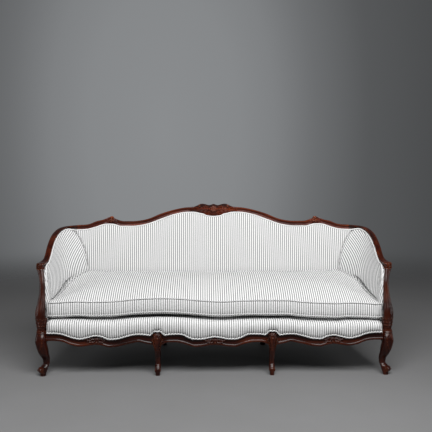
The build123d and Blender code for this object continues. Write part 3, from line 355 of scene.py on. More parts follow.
@dataclass(frozen=True)
class PolishedWood:
    """Dark red-brown show-wood under a hand-rubbed polish; its hollows are painted darker, partly as old glaze and
    partly as painted shade.
    """

    name: str
    way: Grain
    # Scales every colour of the piece: painted light and shade, by how much the piece faces the lamps.
    tone: float = 1.0
    dark: Triple = (0.017, 0.0024, 0.0009)
    middle: Triple = (0.084, 0.0105, 0.0028)
    light: Triple = (0.215, 0.0380, 0.0095)
    worn: Triple = (0.40, 0.100, 0.030)
    soot: Triple = (0.003, 0.0008, 0.0005)
    ground: Triple = (0.006, 0.0015, 0.0008)
    pore: float = 0.0016
    figure: float = 0.035
    shine: float = 0.15
    hollow_depth: float = 0.85
    wear: float = 0.42
    ground_depth: float = 0.55
    relief: float = 0.00025
    carved_grounds: Rows = ()

    def make(self) -> bpy.types.Material:
        """Mixes the grain's colours and the polish."""
        recipe = Recipe(self.name)
        stretched = recipe.coordinates(self.way.value)
        figure = recipe.grain(stretched, self.figure, 5.0)
        pores = recipe.grain(stretched, self.pore, 2.0)
        dark, middle, light, worn = (
            tuple(part * self.tone for part in shade) for shade in (self.dark, self.middle, self.light, self.worn)
        )
        colour = recipe.colours(figure, [(0.30, dark), (0.5, middle), (0.72, light)])
        fine = pores.ramp(0.42, 0.62)
        colour = recipe.blend(fine * 0.35, colour, dark)
        edge = recipe.source("ShaderNodeNewGeometry", "Pointiness")
        # Painted shade: hollows, where pointiness is low, go towards near black; partly glaze in the carving, partly
        # the shade that falls there.
        hollow = edge.ramp(0.44, 0.50, 1.0, 0.0)
        colour = recipe.blend(hollow * self.hollow_depth, colour, self.soot)
        colour = recipe.blend(edge.ramp(0.52, 0.60) * self.wear, colour, worn)
        # Painted shade: the carving's ground round each listed place along X goes dark, for the shade between the
        # leaves.
        for middle_x, half in self.carved_grounds:
            off = abs(abs(recipe.split(recipe.coordinates())[0]) - middle_x)
            colour = recipe.blend(off.ramp(half - 0.03, half, self.ground_depth, 0.0), colour, self.ground)
        return recipe.finish(
            Base_Color=colour, Roughness=0.22 + 0.12 * fine + 0.30 * hollow, Specular_IOR_Level=self.shine,
            Coat_Weight=0.16, Coat_Roughness=0.06, Normal=recipe.bump(pores * 0.5 + figure * 0.5, self.relief),
        )


@dataclass(frozen=True)
class PlainWood:
    """Unpolished beech of the hidden frame."""

    name: str = "frame_beech"
    dark: Triple = (0.36, 0.22, 0.12)
    light: Triple = (0.58, 0.41, 0.25)

    def make(self) -> bpy.types.Material:
        """Mixes the pale grain with short dark flecks."""
        recipe = Recipe(self.name)
        stretched = recipe.coordinates((0.12, 1.0, 1.0))
        figure = recipe.grain(stretched, 0.02, 4.0)
        flecks = recipe.grain(stretched, 0.0022, 1.0).ramp(0.58, 0.70)
        colour = recipe.blend(figure.ramp(0.35, 0.65), self.dark, self.light)
        colour = recipe.blend(flecks * 0.5, colour, self.dark)
        return recipe.finish(Base_Color=colour, Roughness=0.6 + 0.15 * flecks, Normal=recipe.bump(figure, 0.0003))


@dataclass(frozen=True)
class Ticking:
    """White twill with a thin dark stripe in every repeat."""

    name: str = "striped_ticking"
    ground: Triple = (0.83, 0.83, 0.825)
    stripe: Triple = (0.035, 0.038, 0.046)
    shadow: Triple = (0.62, 0.62, 0.63)
    stripe_share: float = 0.25
    soft_edge: float = 0.03
    thread: float = 0.0011

    def make(self) -> bpy.types.Material:
        """Draws the stripes, the twill's diagonal and the uneven threads."""
        recipe = Recipe(self.name)
        across, along, _ = recipe.split(recipe.source("ShaderNodeUVMap", "UV", uv_map="cloth"))
        drift = recipe.grain(recipe.coordinates(), 0.06, 2.0) - 0.5
        repeat = ((across + drift * 0.0016) / STRIPE_PITCH).part()
        off, half = abs(repeat - 0.5), self.stripe_share / 2
        line = off.ramp(half - self.soft_edge, half + self.soft_edge, 1.0, 0.0)
        hairline = abs(off - 0.19).ramp(0.012, 0.03, 0.45, 0.0)
        fleck = recipe.grain(recipe.coordinates((1, 1, 0.2)), 0.0016, 1.0)
        colour = recipe.blend(fleck.ramp(0.35, 0.7) * 0.12, self.ground, self.shadow)
        colour = recipe.blend(hairline, colour, self.stripe)
        colour = recipe.blend(line * 0.97, colour, self.stripe)
        height = (across + along).wave(self.thread * 1.8) * 0.5 + across.wave(self.thread) * 0.5
        return recipe.finish(
            Base_Color=colour, Roughness=0.86 + 0.08 * fleck, Specular_IOR_Level=0.30,
            Sheen_Weight=0.08, Sheen_Roughness=0.5, Normal=recipe.bump(height, 0.00012),
        )


@dataclass(frozen=True)
class CoarseWeave:
    """A plain open cloth, such as hessian, webbing or dust cloth."""

    name: str
    colour: Triple
    gap: Triple
    thread: float

    def make(self) -> bpy.types.Material:
        """Crosses two sets of threads."""
        recipe = Recipe(self.name)
        x, y, z = recipe.split(recipe.coordinates())
        height = (x + z * 0.31).wave(self.thread) * (y + z).wave(self.thread)
        colour = recipe.blend(height.ramp(-0.2, 0.5), self.gap, self.colour)
        slubs = recipe.grain(recipe.coordinates((0.2, 1, 1)), 3 * self.thread, 2.0)
        colour = recipe.blend(slubs.ramp(0.5, 0.7) * 0.3, colour, self.gap)
        return recipe.finish(Base_Color=colour, Roughness=0.9 - 0.05 * slubs, Normal=recipe.bump(height, 0.0003))


@dataclass(frozen=True)
class SpringSteel:
    """Bright drawn wire and pressed clips with a trace of oil."""

    name: str = "spring_steel"
    bright: Triple = (0.50, 0.50, 0.52)
    dull: Triple = (0.33, 0.32, 0.31)

    def make(self) -> bpy.types.Material:
        """Mixes bright and dull patches."""
        recipe = Recipe(self.name)
        patches = recipe.grain(recipe.coordinates(), 0.012, 3.0)
        colour = recipe.blend(patches.ramp(0.4, 0.7), self.bright, self.dull)
        return recipe.finish(Base_Color=colour, Metallic=1.0, Roughness=0.28 + 0.25 * patches)


class Palette:
    """Every finish of the sofa, made once."""

    def __init__(self) -> None:
        """Makes the materials."""
        # Painted shade on the crest's carved ground, round the flower and each bud.
        ground_shade_spots = ((0.0, 0.155), (CrestRail.bud_x * MM, 0.034))
        # Painted light and shade: one wood, painted lighter for the carving and darker for the rails, arms and legs
        # than for the crest, which faces the lamp.
        self.crest_wood = PolishedWood("show_wood_crest", Grain.ALONG_RAIL, carved_grounds=ground_shade_spots).make()
        self.carved_wood = PolishedWood("show_wood_carved", Grain.ALONG_RAIL, 1.12, shine=0.34).make()
        self.rail_wood = PolishedWood("show_wood_rail", Grain.ALONG_RAIL, 0.39, shine=0.17).make()
        self.arm_wood = PolishedWood("show_wood_arm", Grain.ALONG_ARM, 0.46, shine=0.20).make()
        self.leg_wood = PolishedWood("show_wood_leg", Grain.UPRIGHT, 0.31, shine=0.17).make()
        self.beech = PlainWood().make()
        self.ticking = Ticking().make()
        self.hessian = CoarseWeave("hessian", (0.42, 0.32, 0.20), (0.13, 0.09, 0.05), 0.0022).make()
        self.webbing = CoarseWeave("jute_webbing", (0.36, 0.27, 0.17), (0.14, 0.10, 0.06), 0.0030).make()
        self.dust_cloth = CoarseWeave("dust_cloth", (0.025, 0.025, 0.027), (0.008, 0.008, 0.009), 0.0012).make()
        self.steel = SpringSteel().make()


# ---- Meshes ----
def loft(rings: Sequence[Sequence[Vector]], cloth: ClothRule | None = None, closed: bool = True) -> Mesh:
    """Stretches a skin over rings that have as many points each.

    Args:
        rings: the rings, in order.
        cloth: gives a point's cloth coordinates from its ring, its number and its place.
        closed: whether each ring is a loop, the first and last of them filled.

    Returns:
        The skin as a bmesh.
    """
    mesh = bmesh.new()
    row = [mesh.verts.new(point) for point in rings[0]]
    edges = [mesh.edges.new(pair) for pair in zip(row, row[1:])]
    if closed:
        edges.append(mesh.edges.new((row[-1], row[0])))
    rows = [row]
    for ring in rings[1:]:
        made = bmesh.ops.extrude_edge_only(mesh, edges=edges)["geom"]
        fresh = {item for item in made if isinstance(item, bmesh.types.BMVert)}
        edges = [item for item in made if isinstance(item, bmesh.types.BMEdge) and fresh.issuperset(item.verts)]
        row = [next(e.other_vert(v) for e in v.link_edges if e.other_vert(v) in fresh) for v in row]
        for vertex, point in zip(row, ring):
            vertex.co = point
        rows.append(row)
    if closed:
        mesh.faces.new(rows[0])
        mesh.faces.new(reversed(rows[-1]))
    bmesh.ops.recalc_face_normals(mesh, faces=mesh.faces)
    if cloth:
        layer = mesh.loops.layers.uv.new("cloth")
        marks = {
            vertex: cloth(ring_index, index, vertex.co)
            for ring_index, row in enumerate(rows) for index, vertex in enumerate(row)
        }
        for face in mesh.faces:
            for corner in face.loops:
                corner[layer].uv = marks[corner.vert]
    return mesh


def merged(meshes: Sequence[Mesh]) -> Mesh:
    """Several bmeshes as one."""
    whole = bmesh.new()
    for mesh in meshes:
        data = bpy.data.meshes.new("part")
        mesh.to_mesh(data)
        whole.from_mesh(data)
        bpy.data.meshes.remove(data)
        mesh.free()
    return whole


def flipped(mesh: Mesh) -> Mesh:
    """A copy of a right-hand mesh for the left-hand side."""
    other = mesh.copy()
    bmesh.ops.scale(other, vec=(-1, 1, 1), verts=other.verts)
    bmesh.ops.reverse_faces(other, faces=other.faces)
    return other


def tube(track: Track, radius: float, rings: int, sides: int = 8, cloth: ClothRule | None = None,
         swell: Callable[[float], float] | None = None) -> Mesh:
    """A round tube along a track.

    Args:
        track: its centre line.
        radius: its radius in metres.
        rings: how many rings it has.
        sides: how many sides it has.
        cloth: cloth coordinates of a point.
        swell: the share of the radius at a share of the way.

    Returns:
        The tube as a bmesh.
    """
    loops = []
    across = None
    for share in spread(rings):
        along = track.heading(share)
        if across is None:
            across = along.cross(UP if abs(along.z) < 0.9 else -FRONT)
        across = (across - along * across.dot(along)).normalized()
        up = along.cross(across)
        grow = radius * (swell(share) if swell else 1.0)
        loops.append([
            track.at(share) + grow * (math.cos(turn) * across + math.sin(turn) * up) for turn in around(sides)
        ])
    return loft(loops, cloth)


class Body(Enum):
    """The sofa's two moving groups."""

    FRAME = "root"
    CUSHION = "seat_cushion"


def piece(name: str, mesh: Mesh, material: bpy.types.Material, slot: str, *stands_for: str,
          body: Body = Body.FRAME, crease: float = 50.0) -> Item:
    """Turns a bmesh into a finished piece of the sofa.

    Args:
        name: the piece's name.
        mesh: its shape in the sofa's own frame.
        material: its finish.
        slot: the record's material slot; not used.
        stands_for: the nodes that it replaces.
        body: what it moves with.
        crease: edges sharper than this many degrees stay sharp.

    Returns:
        The object.
    """
    data = bpy.data.meshes.new(name)
    mesh.to_mesh(data)
    mesh.free()
    data.materials.append(material)
    data.shade_smooth()
    data.set_sharp_from_angle(angle=math.radians(crease))
    made = bpy.data.objects.new(name, data)
    bpy.context.scene.collection.objects.link(made)
    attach(made, body.value)
    if stands_for:
        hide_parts(*stands_for)
    LOG.info("%s: %d faces", name, len(data.polygons))
    return made


def pair(name: str, mesh: Mesh, material: bpy.types.Material, slot: str, node: str | None = None,
         **finish: float) -> list[Item]:
    """A right-hand piece and its mirror image.

    Args:
        name: the piece's name without its side.
        mesh: the right-hand shape.
        material: the finish of both.
        slot: the record's material slot.
        node: the replaced node's name without its side.
        finish: what piece() takes besides.

    Returns:
        The two objects, left and right.
    """
    made = []
    for side, shape in (("left", flipped(mesh)), ("right", mesh)):
        nodes = [f"{node}_{side}"] if node else []
        made.append(piece(f"{name}_{side}", shape, material, slot, *nodes, **finish))
    return made


# ---- Shared lines of wood and cover ----
def mm(x: float, y: float, z: float) -> Vector:
    """A place stated in millimetres."""
    return Vector((x, y, z)) * MM


def mirrored(places: Iterable[Vector]) -> Ring:
    """The same places on the sofa's other side."""
    return [Vector((-place.x, place.y, place.z)) for place in places]


def leg_gap(x: float) -> float:
    """Millimetres between x and the nearer middle leg's centre."""
    return abs(abs(x) - MID_LEG_X)


@dataclass(frozen=True)
class Lines:
    """The lines that wood and cover share, in millimetres."""

    crest_half: float = 890.0
    crest_z: float = 799.0
    crest_y: float = 295.0
    crest_rake: float = 0.20
    crest_deep: float = 36.0
    crest: Rows = (
        (0.0, 151, 72), (0.034, 143, 74), (0.055, 148, 78), (0.079, 152, 88), (0.10, 150, 91),
        (0.124, 139, 97), (0.167, 130, 99), (0.212, 127, 98), (0.302, 111, 81), (0.391, 87, 53),
        (0.48, 55, 25), (0.57, 40, 10), (0.63, 39, 9), (0.68, 41, 9), (0.722, 54, 19), (0.75, 66, 23),
        (0.775, 64, 23), (0.81, 50, 20), (0.86, 40, 5), (0.92, 20, -9), (1.0, 14, -14),
    )
    arm_rail: Rows = (
        (890, 313, 799), (915, 307, 797), (960, 274, 793), (989, 217, 784), (1004, 132, 764),
        (1007, 42, 735), (1007, -33, 700), (1006, -87, 667), (1007, -137, 643), (1015, -187, 629), (1022, -225, 626),
    )
    arm_foot: Rows = (
        (970, -272), (960, -205), (945, -135), (919, -43), (894, 34), (862, 106), (836, 161), (820, 190), (811, 206),
    )
    seat_z: float = 268.0
    seam_top: Triple = (918, 291, 784)
    back_foot_y: float = 206.0

    def edge(self, which: int) -> Gauge:
        """The crest rail's upper (1) or lower (2) edge: height over the floor from the distance to the centre."""
        return Gauge([(row[0] * self.crest_half, self.crest_z + row[which]) for row in self.crest])

    def crest_front(self, z: float) -> float:
        """How far back the crest rail's front lies at a height."""
        return self.crest_y + (z - self.crest_z) * self.crest_rake

    def rail_track(self) -> Track:
        """The centre line of the right-hand arm rail."""
        return Track([mm(*point) for point in self.arm_rail])


LINES = Lines()
CREST_TOP, CREST_LOW = LINES.edge(1), LINES.edge(2)


@dataclass(frozen=True)
class Moulding:
    """The show-wood rails' section: shares of the height with how far each stands forward, then the back."""

    front: Rows = (
        (0.0, -5.0), (0.03, -2.0), (0.09, -0.4), (0.17, -0.2), (0.24, -0.8), (0.28, -1.9), (0.36, -2.4), (0.50, -2.4),
        (0.61, -1.4), (0.69, 0.0), (0.73, 2.0), (0.80, 3.8), (0.89, 4.0), (0.96, 1.8), (1.0, -3.2),
    )
    back: Rows = ((1.0, -0.35), (0.96, -0.92), (0.88, -1.0), (0.12, -1.0), (0.02, -0.9))

    def ring(self, depth: float, plain: float = 0.0) -> list[tuple[float, float]]:
        """The section for a depth in millimetres; plain flattens the front under carving."""
        front = [(share, out * (1 - plain) - 3.0 * plain) for share, out in self.front]
        return front + [(share, out * depth) for share, out in self.back]


MOULDING = Moulding()


# ---- Carving ----
def facing(origin: Vector, along: Vector, out: Vector) -> Matrix:
    """A carver's frame: X along the ornament, Z out of the wood."""
    x = along.normalized()
    z = (out - x * out.dot(x)).normalized()
    y = z.cross(x)
    return Matrix.Translation(origin) @ Matrix((x, y, z)).transposed().to_4x4()


def leaf(frame: Matrix, length: float, width: float, relief: float, curl: float = 0.0, lobes: int = 4,
         tip: float = 0.0) -> Mesh:
    """A lobed leaf with a raised rib.

    Args:
        frame: its root, direction and outward side.
        length: root to tip, in millimetres.
        width: its full width.
        relief: how far its middle stands out.
        curl: how far it bends sideways over its length, in radians.
        lobes: lobes along each edge.
        tip: how far its tip curls outwards, in millimetres.

    Returns:
        The leaf as a closed bmesh.
    """
    mesh = bmesh.new()
    bmesh.ops.create_grid(mesh, x_segments=26, y_segments=10, size=0.5)
    for vertex in mesh.verts:
        share, side = vertex.co.x + 0.5, 2 * vertex.co.y
        wave = math.cos(2 * math.pi * lobes * share)
        half = width / 2 * (0.10 + math.sin(math.pi * share**0.8) ** 0.8) * (1 - 0.20 * wave)
        angle = curl * share
        reach, drift = length * share, 0.0
        if curl:
            reach, drift = length * math.sin(angle) / curl, length * (1 - math.cos(angle)) / curl
        rib = 0.45 * math.exp(-((side / 0.16) ** 2))
        groove = 0.22 * wave * abs(side)
        height = relief * ((1 - side * side) * 0.75 + rib - groove) * (0.35 + 0.65 * math.sin(math.pi * share**0.7))
        height += tip * share**3
        across = half * side
        vertex.co = mm(reach - across * math.sin(angle), drift + across * math.cos(angle), height)
    bmesh.ops.solidify(mesh, geom=mesh.faces[:], thickness=2.5 * MM)
    bmesh.ops.recalc_face_normals(mesh, faces=mesh.faces)
    bmesh.ops.transform(mesh, matrix=frame, verts=mesh.verts)
    return mesh


def bead(place: Vector, size: Sequence[float], frame: Matrix | None = None, segments: int = 14) -> Mesh:
    """A rounded knob of three stated half sizes in millimetres."""
    mesh = bmesh.new()
    bmesh.ops.create_uvsphere(mesh, u_segments=segments, v_segments=max(segments // 2, 6), radius=1.0)
    bmesh.ops.scale(mesh, vec=Vector(size) * MM, verts=mesh.verts)
    bmesh.ops.translate(mesh, vec=place, verts=mesh.verts)
    if frame:
        bmesh.ops.transform(mesh, matrix=frame, verts=mesh.verts)
    return mesh


def rosette(frame: Matrix, radius: float, petals: int, relief: float) -> list[Mesh]:
    """A flower of two rows of petals round a boss."""
    made = []
    for row, (reach, size, lift) in enumerate(((0.64, 0.36, 0.25), (0.30, 0.20, 0.55))):
        for turn in around(petals):
            spin = Matrix.Rotation(turn + row * math.pi / petals, 4, "Z")
            petal = bead(mm(reach * radius, 0, lift * relief), (size * radius, size * radius * 0.70, relief * 0.55))
            for vertex in petal.verts:
                crease = math.exp(-((vertex.co.y / (0.10 * radius * MM)) ** 2))
                vertex.co.z -= 0.30 * relief * MM * crease * (1 if vertex.co.z > lift * relief * MM else 0)
            bmesh.ops.transform(petal, matrix=frame @ spin, verts=petal.verts)
            made.append(petal)
    made.append(bead(mm(0, 0, 0.9 * relief), (0.2 * radius, 0.2 * radius, 0.35 * relief), frame))
    return made


def scroll(frame: Matrix, radius: float, turns: float, thick: float, start: float = 0.0,
           hand: float = 1.0) -> list[Mesh]:
    """A volute: a tapering rib wound inwards to a round eye, radius and thickness in millimetres."""
    points = []
    for share in spread(int(14 * turns) + 6):
        reach = radius * (1 - 0.80 * share)
        turn = start + hand * 2 * math.pi * turns * share
        points.append(mm(reach * math.cos(turn), reach * math.sin(turn), thick * 0.35 * share))
    rib = tube(Track(points, 6), thick * MM, 20 + int(26 * turns), 8, swell=lambda share: 1.0 - 0.45 * share)
    bmesh.ops.transform(rib, matrix=frame, verts=rib.verts)
    return [rib, bead(mm(0, 0, 0.4 * thick), (radius * 0.26, radius * 0.26, thick * 1.15), frame)]


def shell(frame: Matrix, radius: float, height: float, relief: float, ribs: int) -> Mesh:
    """A fluted dome, wider than it is deep, that hugs a leg's knee."""
    mesh = bmesh.new()
    bmesh.ops.create_uvsphere(mesh, u_segments=ribs * 6, v_segments=14, radius=1.0)
    bmesh.ops.rotate(mesh, matrix=Matrix.Rotation(math.pi / 2, 3, "X"), verts=mesh.verts)
    for vertex in mesh.verts:
        x, y, z = vertex.co
        flute = 1 + 0.07 * math.cos(ribs * math.atan2(x, z)) * min(1.0, math.hypot(x, z) * 1.4)
        vertex.co = mm(x * radius, z * height, -y * relief) * flute
    bmesh.ops.recalc_face_normals(mesh, faces=mesh.faces)
    bmesh.ops.transform(mesh, matrix=frame, verts=mesh.verts)
    return mesh


@dataclass
class Assembly:
    """A group of pieces that are made together from the shared finishes."""

    palette: Palette


# ---- Crest rail ----
@dataclass
class CrestRail(Assembly):
    """The serpentine top rail with its centre flower and two side buds."""

    stations: int = 181
    bud_x: float = 667.0

    def place(self, x: float, share: float, forward: float) -> Vector:
        """A place on the rail's front, a share of the way up its face and so far forward of it."""
        low, top = CREST_LOW(abs(x)), CREST_TOP(abs(x))
        z = low + (top - low) * share
        return mm(x, LINES.crest_front(z) - forward, z)

    def rail(self) -> Mesh:
        """The moulded rail itself."""
        rings = []
        for x in spread(self.stations, -LINES.crest_half, LINES.crest_half):
            carved = smoothstep(165, 125, abs(x)) + smoothstep(48, 26, abs(abs(x) - self.bud_x))
            section = MOULDING.ring(LINES.crest_deep, min(carved, 1.0))
            rings.append([self.place(x, share, out) for share, out in section])
        return loft(rings)

    def carved_frame(self, x: float, share: float, along: Sequence[float], forward: float = -2.0) -> Matrix:
        """A carver's frame on the rail's front."""
        return facing(self.place(x, share, forward), Vector(along), Vector((0, -1, 0.2)))

    def centre(self) -> list[Mesh]:
        """The flower and the leaves that spring from it to both sides."""
        made = rosette(self.carved_frame(0, 0.60, (1, 0, 0), -0.5), 22, 7, 9)
        for side in (-1, 1):
            for x, share, along, length, width, curl, tip in (
                (16, 0.30, (1, 0, 0.06), 130, 22, 0.28, 2), (18, 0.55, (1, 0, 0.34), 84, 23, -0.75, 3),
                (50, 0.46, (1, 0, 0.16), 110, 17, -0.42, 2), (30, 0.76, (1, 0, 0.42), 46, 15, -0.9, 3),
                (18, 0.12, (1, 0, 0.0), 64, 12, 0.45, 2), (94, 0.62, (1, 0, -0.10), 68, 14, -0.30, 1),
            ):
                frame = self.carved_frame(side * x, share, (side * along[0], 0, along[2]))
                made.append(leaf(frame, length, width, 7.5, side * curl, 5, tip))
            hook = self.carved_frame(side * 91, 0.82, (1, 0, 0), -0.5)
            made += scroll(hook, 7, 1.1, 2.8, math.pi / 2, -side)
        return made

    def bud(self) -> list[Mesh]:
        """The right-hand bud: five small petals and two leaves along the rail."""
        made = rosette(self.carved_frame(self.bud_x, 0.60, (1, 0, 0), 0.5), 17, 5, 8)
        for along, length in (((1, 0, -0.42), 46), ((-1, 0, -0.36), 46)):
            made.append(leaf(self.carved_frame(self.bud_x + 6 * along[0], 0.62, along), length, 20, 6.0, 0.0, 3, 1))
        made.append(bead(self.place(self.bud_x, 0.97, -8), (13, 12, 7)))
        return made

    def build(self) -> None:
        """Makes the rail and its carvings."""
        piece("crest_rail_moulded", self.rail(), self.palette.crest_wood, "show_wood", "crest_rail", crease=30)
        piece("crest_flower", merged(self.centre()), self.palette.carved_wood, "show_wood", crease=60)
        pair("crest_bud", merged(self.bud()), self.palette.carved_wood, "show_wood", crease=60)


# ---- Arm rails and posts ----
@dataclass
class ArmShowWood(Assembly):
    """An arm's moulded rail, its scrolled end and the reeded S-shaped post that spreads under it."""

    stations: int = 110
    post: Rows = (
        (1002, -317, 262, 50, 50), (1000, -318, 288, 46, 46), (1002, -324, 325, 54, 48), (1006, -322, 365, 57, 50),
        (1003, -302, 425, 44, 42), (1001, -282, 480, 34, 36), (1002, -266, 535, 32, 36), (1008, -243, 580, 42, 42),
        (1016, -226, 612, 54, 50),
    )

    def rail(self) -> Mesh:
        """The rail from the crest joint to its rounded nose."""
        track = LINES.rail_track()
        rings = []
        for share in spread(self.stations):
            grow = smoothstep(0.84, 1.0, share)
            high = 28 + 4 * smoothstep(0, 0.15, share) + 4 * grow
            deep = 36 - 6 * smoothstep(0, 0.12, share) + 14 * grow
            rings.append(self.section(track.at(share), track.heading(share), high, deep, 1.0))
        end, along = track.at(1.0), Vector((0.30, -1, -0.10)).normalized()
        for step in spread(7)[1:]:
            shrink = math.sqrt(max(1 - step * step, 0.02))
            rings.append(self.section(end + along * 20 * step * MM, along, 36, 44, shrink))
        return loft(rings)

    def section(self, place: Vector, along: Vector, high: float, deep: float, scale: float) -> Ring:
        """A moulded section square to the rail."""
        outward = Vector((-along.y, along.x, 0)).normalized()
        up = outward.cross(along).normalized()
        if up.z < 0:
            up = -up
        return [
            place + scale * MM * (up * (share - 0.5) * high - outward * (out + deep / 2))
            for share, out in MOULDING.ring(deep)
        ]

    def clasp(self) -> list[Mesh]:
        """Leaves round the foot of the post and a band of beads under them."""
        made = []
        for turn, lean in ((-90, 0.0), (-40, 0.25), (-140, -0.25), (10, 0.2), (190, -0.2)):
            angle = math.radians(turn)
            out = Vector((math.cos(angle), math.sin(angle), 0.0))
            root = mm(1001, -317, 266) + out * 20 * MM
            made.append(leaf(facing(root, UP + 0.12 * out, out), 74, 30, 7, lean, 4, 5))
        made += [bead(place, (5, 5, 3.2), segments=8) for place in oval(1002, -317, 264, 24, 24, around(14))]
        return made

    def end_scrolls(self) -> list[Mesh]:
        """The volutes on the rail's end, one looking forwards and one outwards, and the collar under them."""
        front = facing(mm(1026, -244, 627), RIGHT, Vector((0.25, -1, 0.1)))
        outer = facing(mm(1044, -214, 622), FRONT, Vector((1, 0.1, 0)))
        collar = oval(1018, -227, 610, 24, 23, spread(25, 0, 2 * math.pi))
        return [
            *scroll(front, 15, 1.4, 3.0, 0.4), *scroll(outer, 14, 1.4, 3.0, 0.4),
            tube(Track(collar, 3), 2.8 * MM, 60, 8),
        ]

    def build(self) -> None:
        """Makes both arms' show-wood."""
        wood = self.palette
        pair("arm_rail_moulded", self.rail(), wood.arm_wood, "show_wood", "arm_rail", crease=32)
        post = shaft(self.post, spread(64, BLOCK_TOP, 612), reed=1.0)
        pair("arm_post_reeded", post, wood.leg_wood, "show_wood", "arm_post", crease=50)
        pair("arm_post_clasp", merged(self.clasp()), wood.leg_wood, "show_wood", crease=60)
        pair("arm_end_scroll", merged(self.end_scrolls()), wood.arm_wood, "show_wood", crease=60)


def oval(x: float, y: float, z: float, wide: float, deep: float, turns: Iterable[float]) -> Ring:
    """Places at some angles of a level ellipse, given by its centre and half sizes in millimetres."""
    return [mm(x + wide * math.cos(turn), y + deep * math.sin(turn), z) for turn in turns]


def shaft(rows: Rows, heights: Iterable[float], reed: float = 0.0, keel: float = 0.0) -> Mesh:
    """The bent shaft of a post or leg.

    Args:
        rows: X and Y of the centre, height, width and depth, in millimetres.
        heights: where its sections lie.
        reed: strength of the reed above the seat, 0 to 1.
        keel: strength of the keel above the foot, 0 to 1.

    Returns:
        The shaft as a bmesh.
    """
    gauges = [Gauge([(row[2], row[axis]) for row in rows]) for axis in (0, 1, 3, 4)]
    rings = []
    for z in heights:
        x, y, wide, deep = (gauge(z) for gauge in gauges)
        reeded, keeled = reed * smoothstep(330, 365, z), keel * smoothstep(40, 90, z)
        rings.append(rounded_ring(x, y, z, wide, deep, reeded, keeled))
    return loft(rings)


def rounded_ring(x: float, y: float, z: float, wide: float, deep: float, reed: float, keel: float) -> Ring:
    """A level section of a leg or post, squarish, with a reed along its front and a keel on its outer front corner.

    Args:
        x: centre, in millimetres.
        y: centre.
        z: height.
        wide: full size along X.
        deep: full size along Y.
        reed: strength of the reed and the hollows beside it, 0 to 1.
        keel: strength of the keel, 0 to 1.

    Returns:
        The ring.
    """
    ring = []
    for turn in around(40):
        c, s = math.cos(turn), math.sin(turn)
        bulge = (abs(c) ** 2.8 + abs(s) ** 2.8) ** (-1 / 2.8)
        front = math.remainder(turn + math.pi / 2, 2 * math.pi)
        hollow = math.exp(-(((abs(front) - 0.62) / 0.20) ** 2))
        corner = math.exp(-((math.remainder(turn + math.pi / 4, 2 * math.pi) / 0.30) ** 2))
        bulge *= 1 - 0.16 * reed * hollow + 0.09 * keel * corner
        ring.append(mm(x + wide / 2 * c * bulge, y + deep / 2 * s * bulge, z))
    return ring


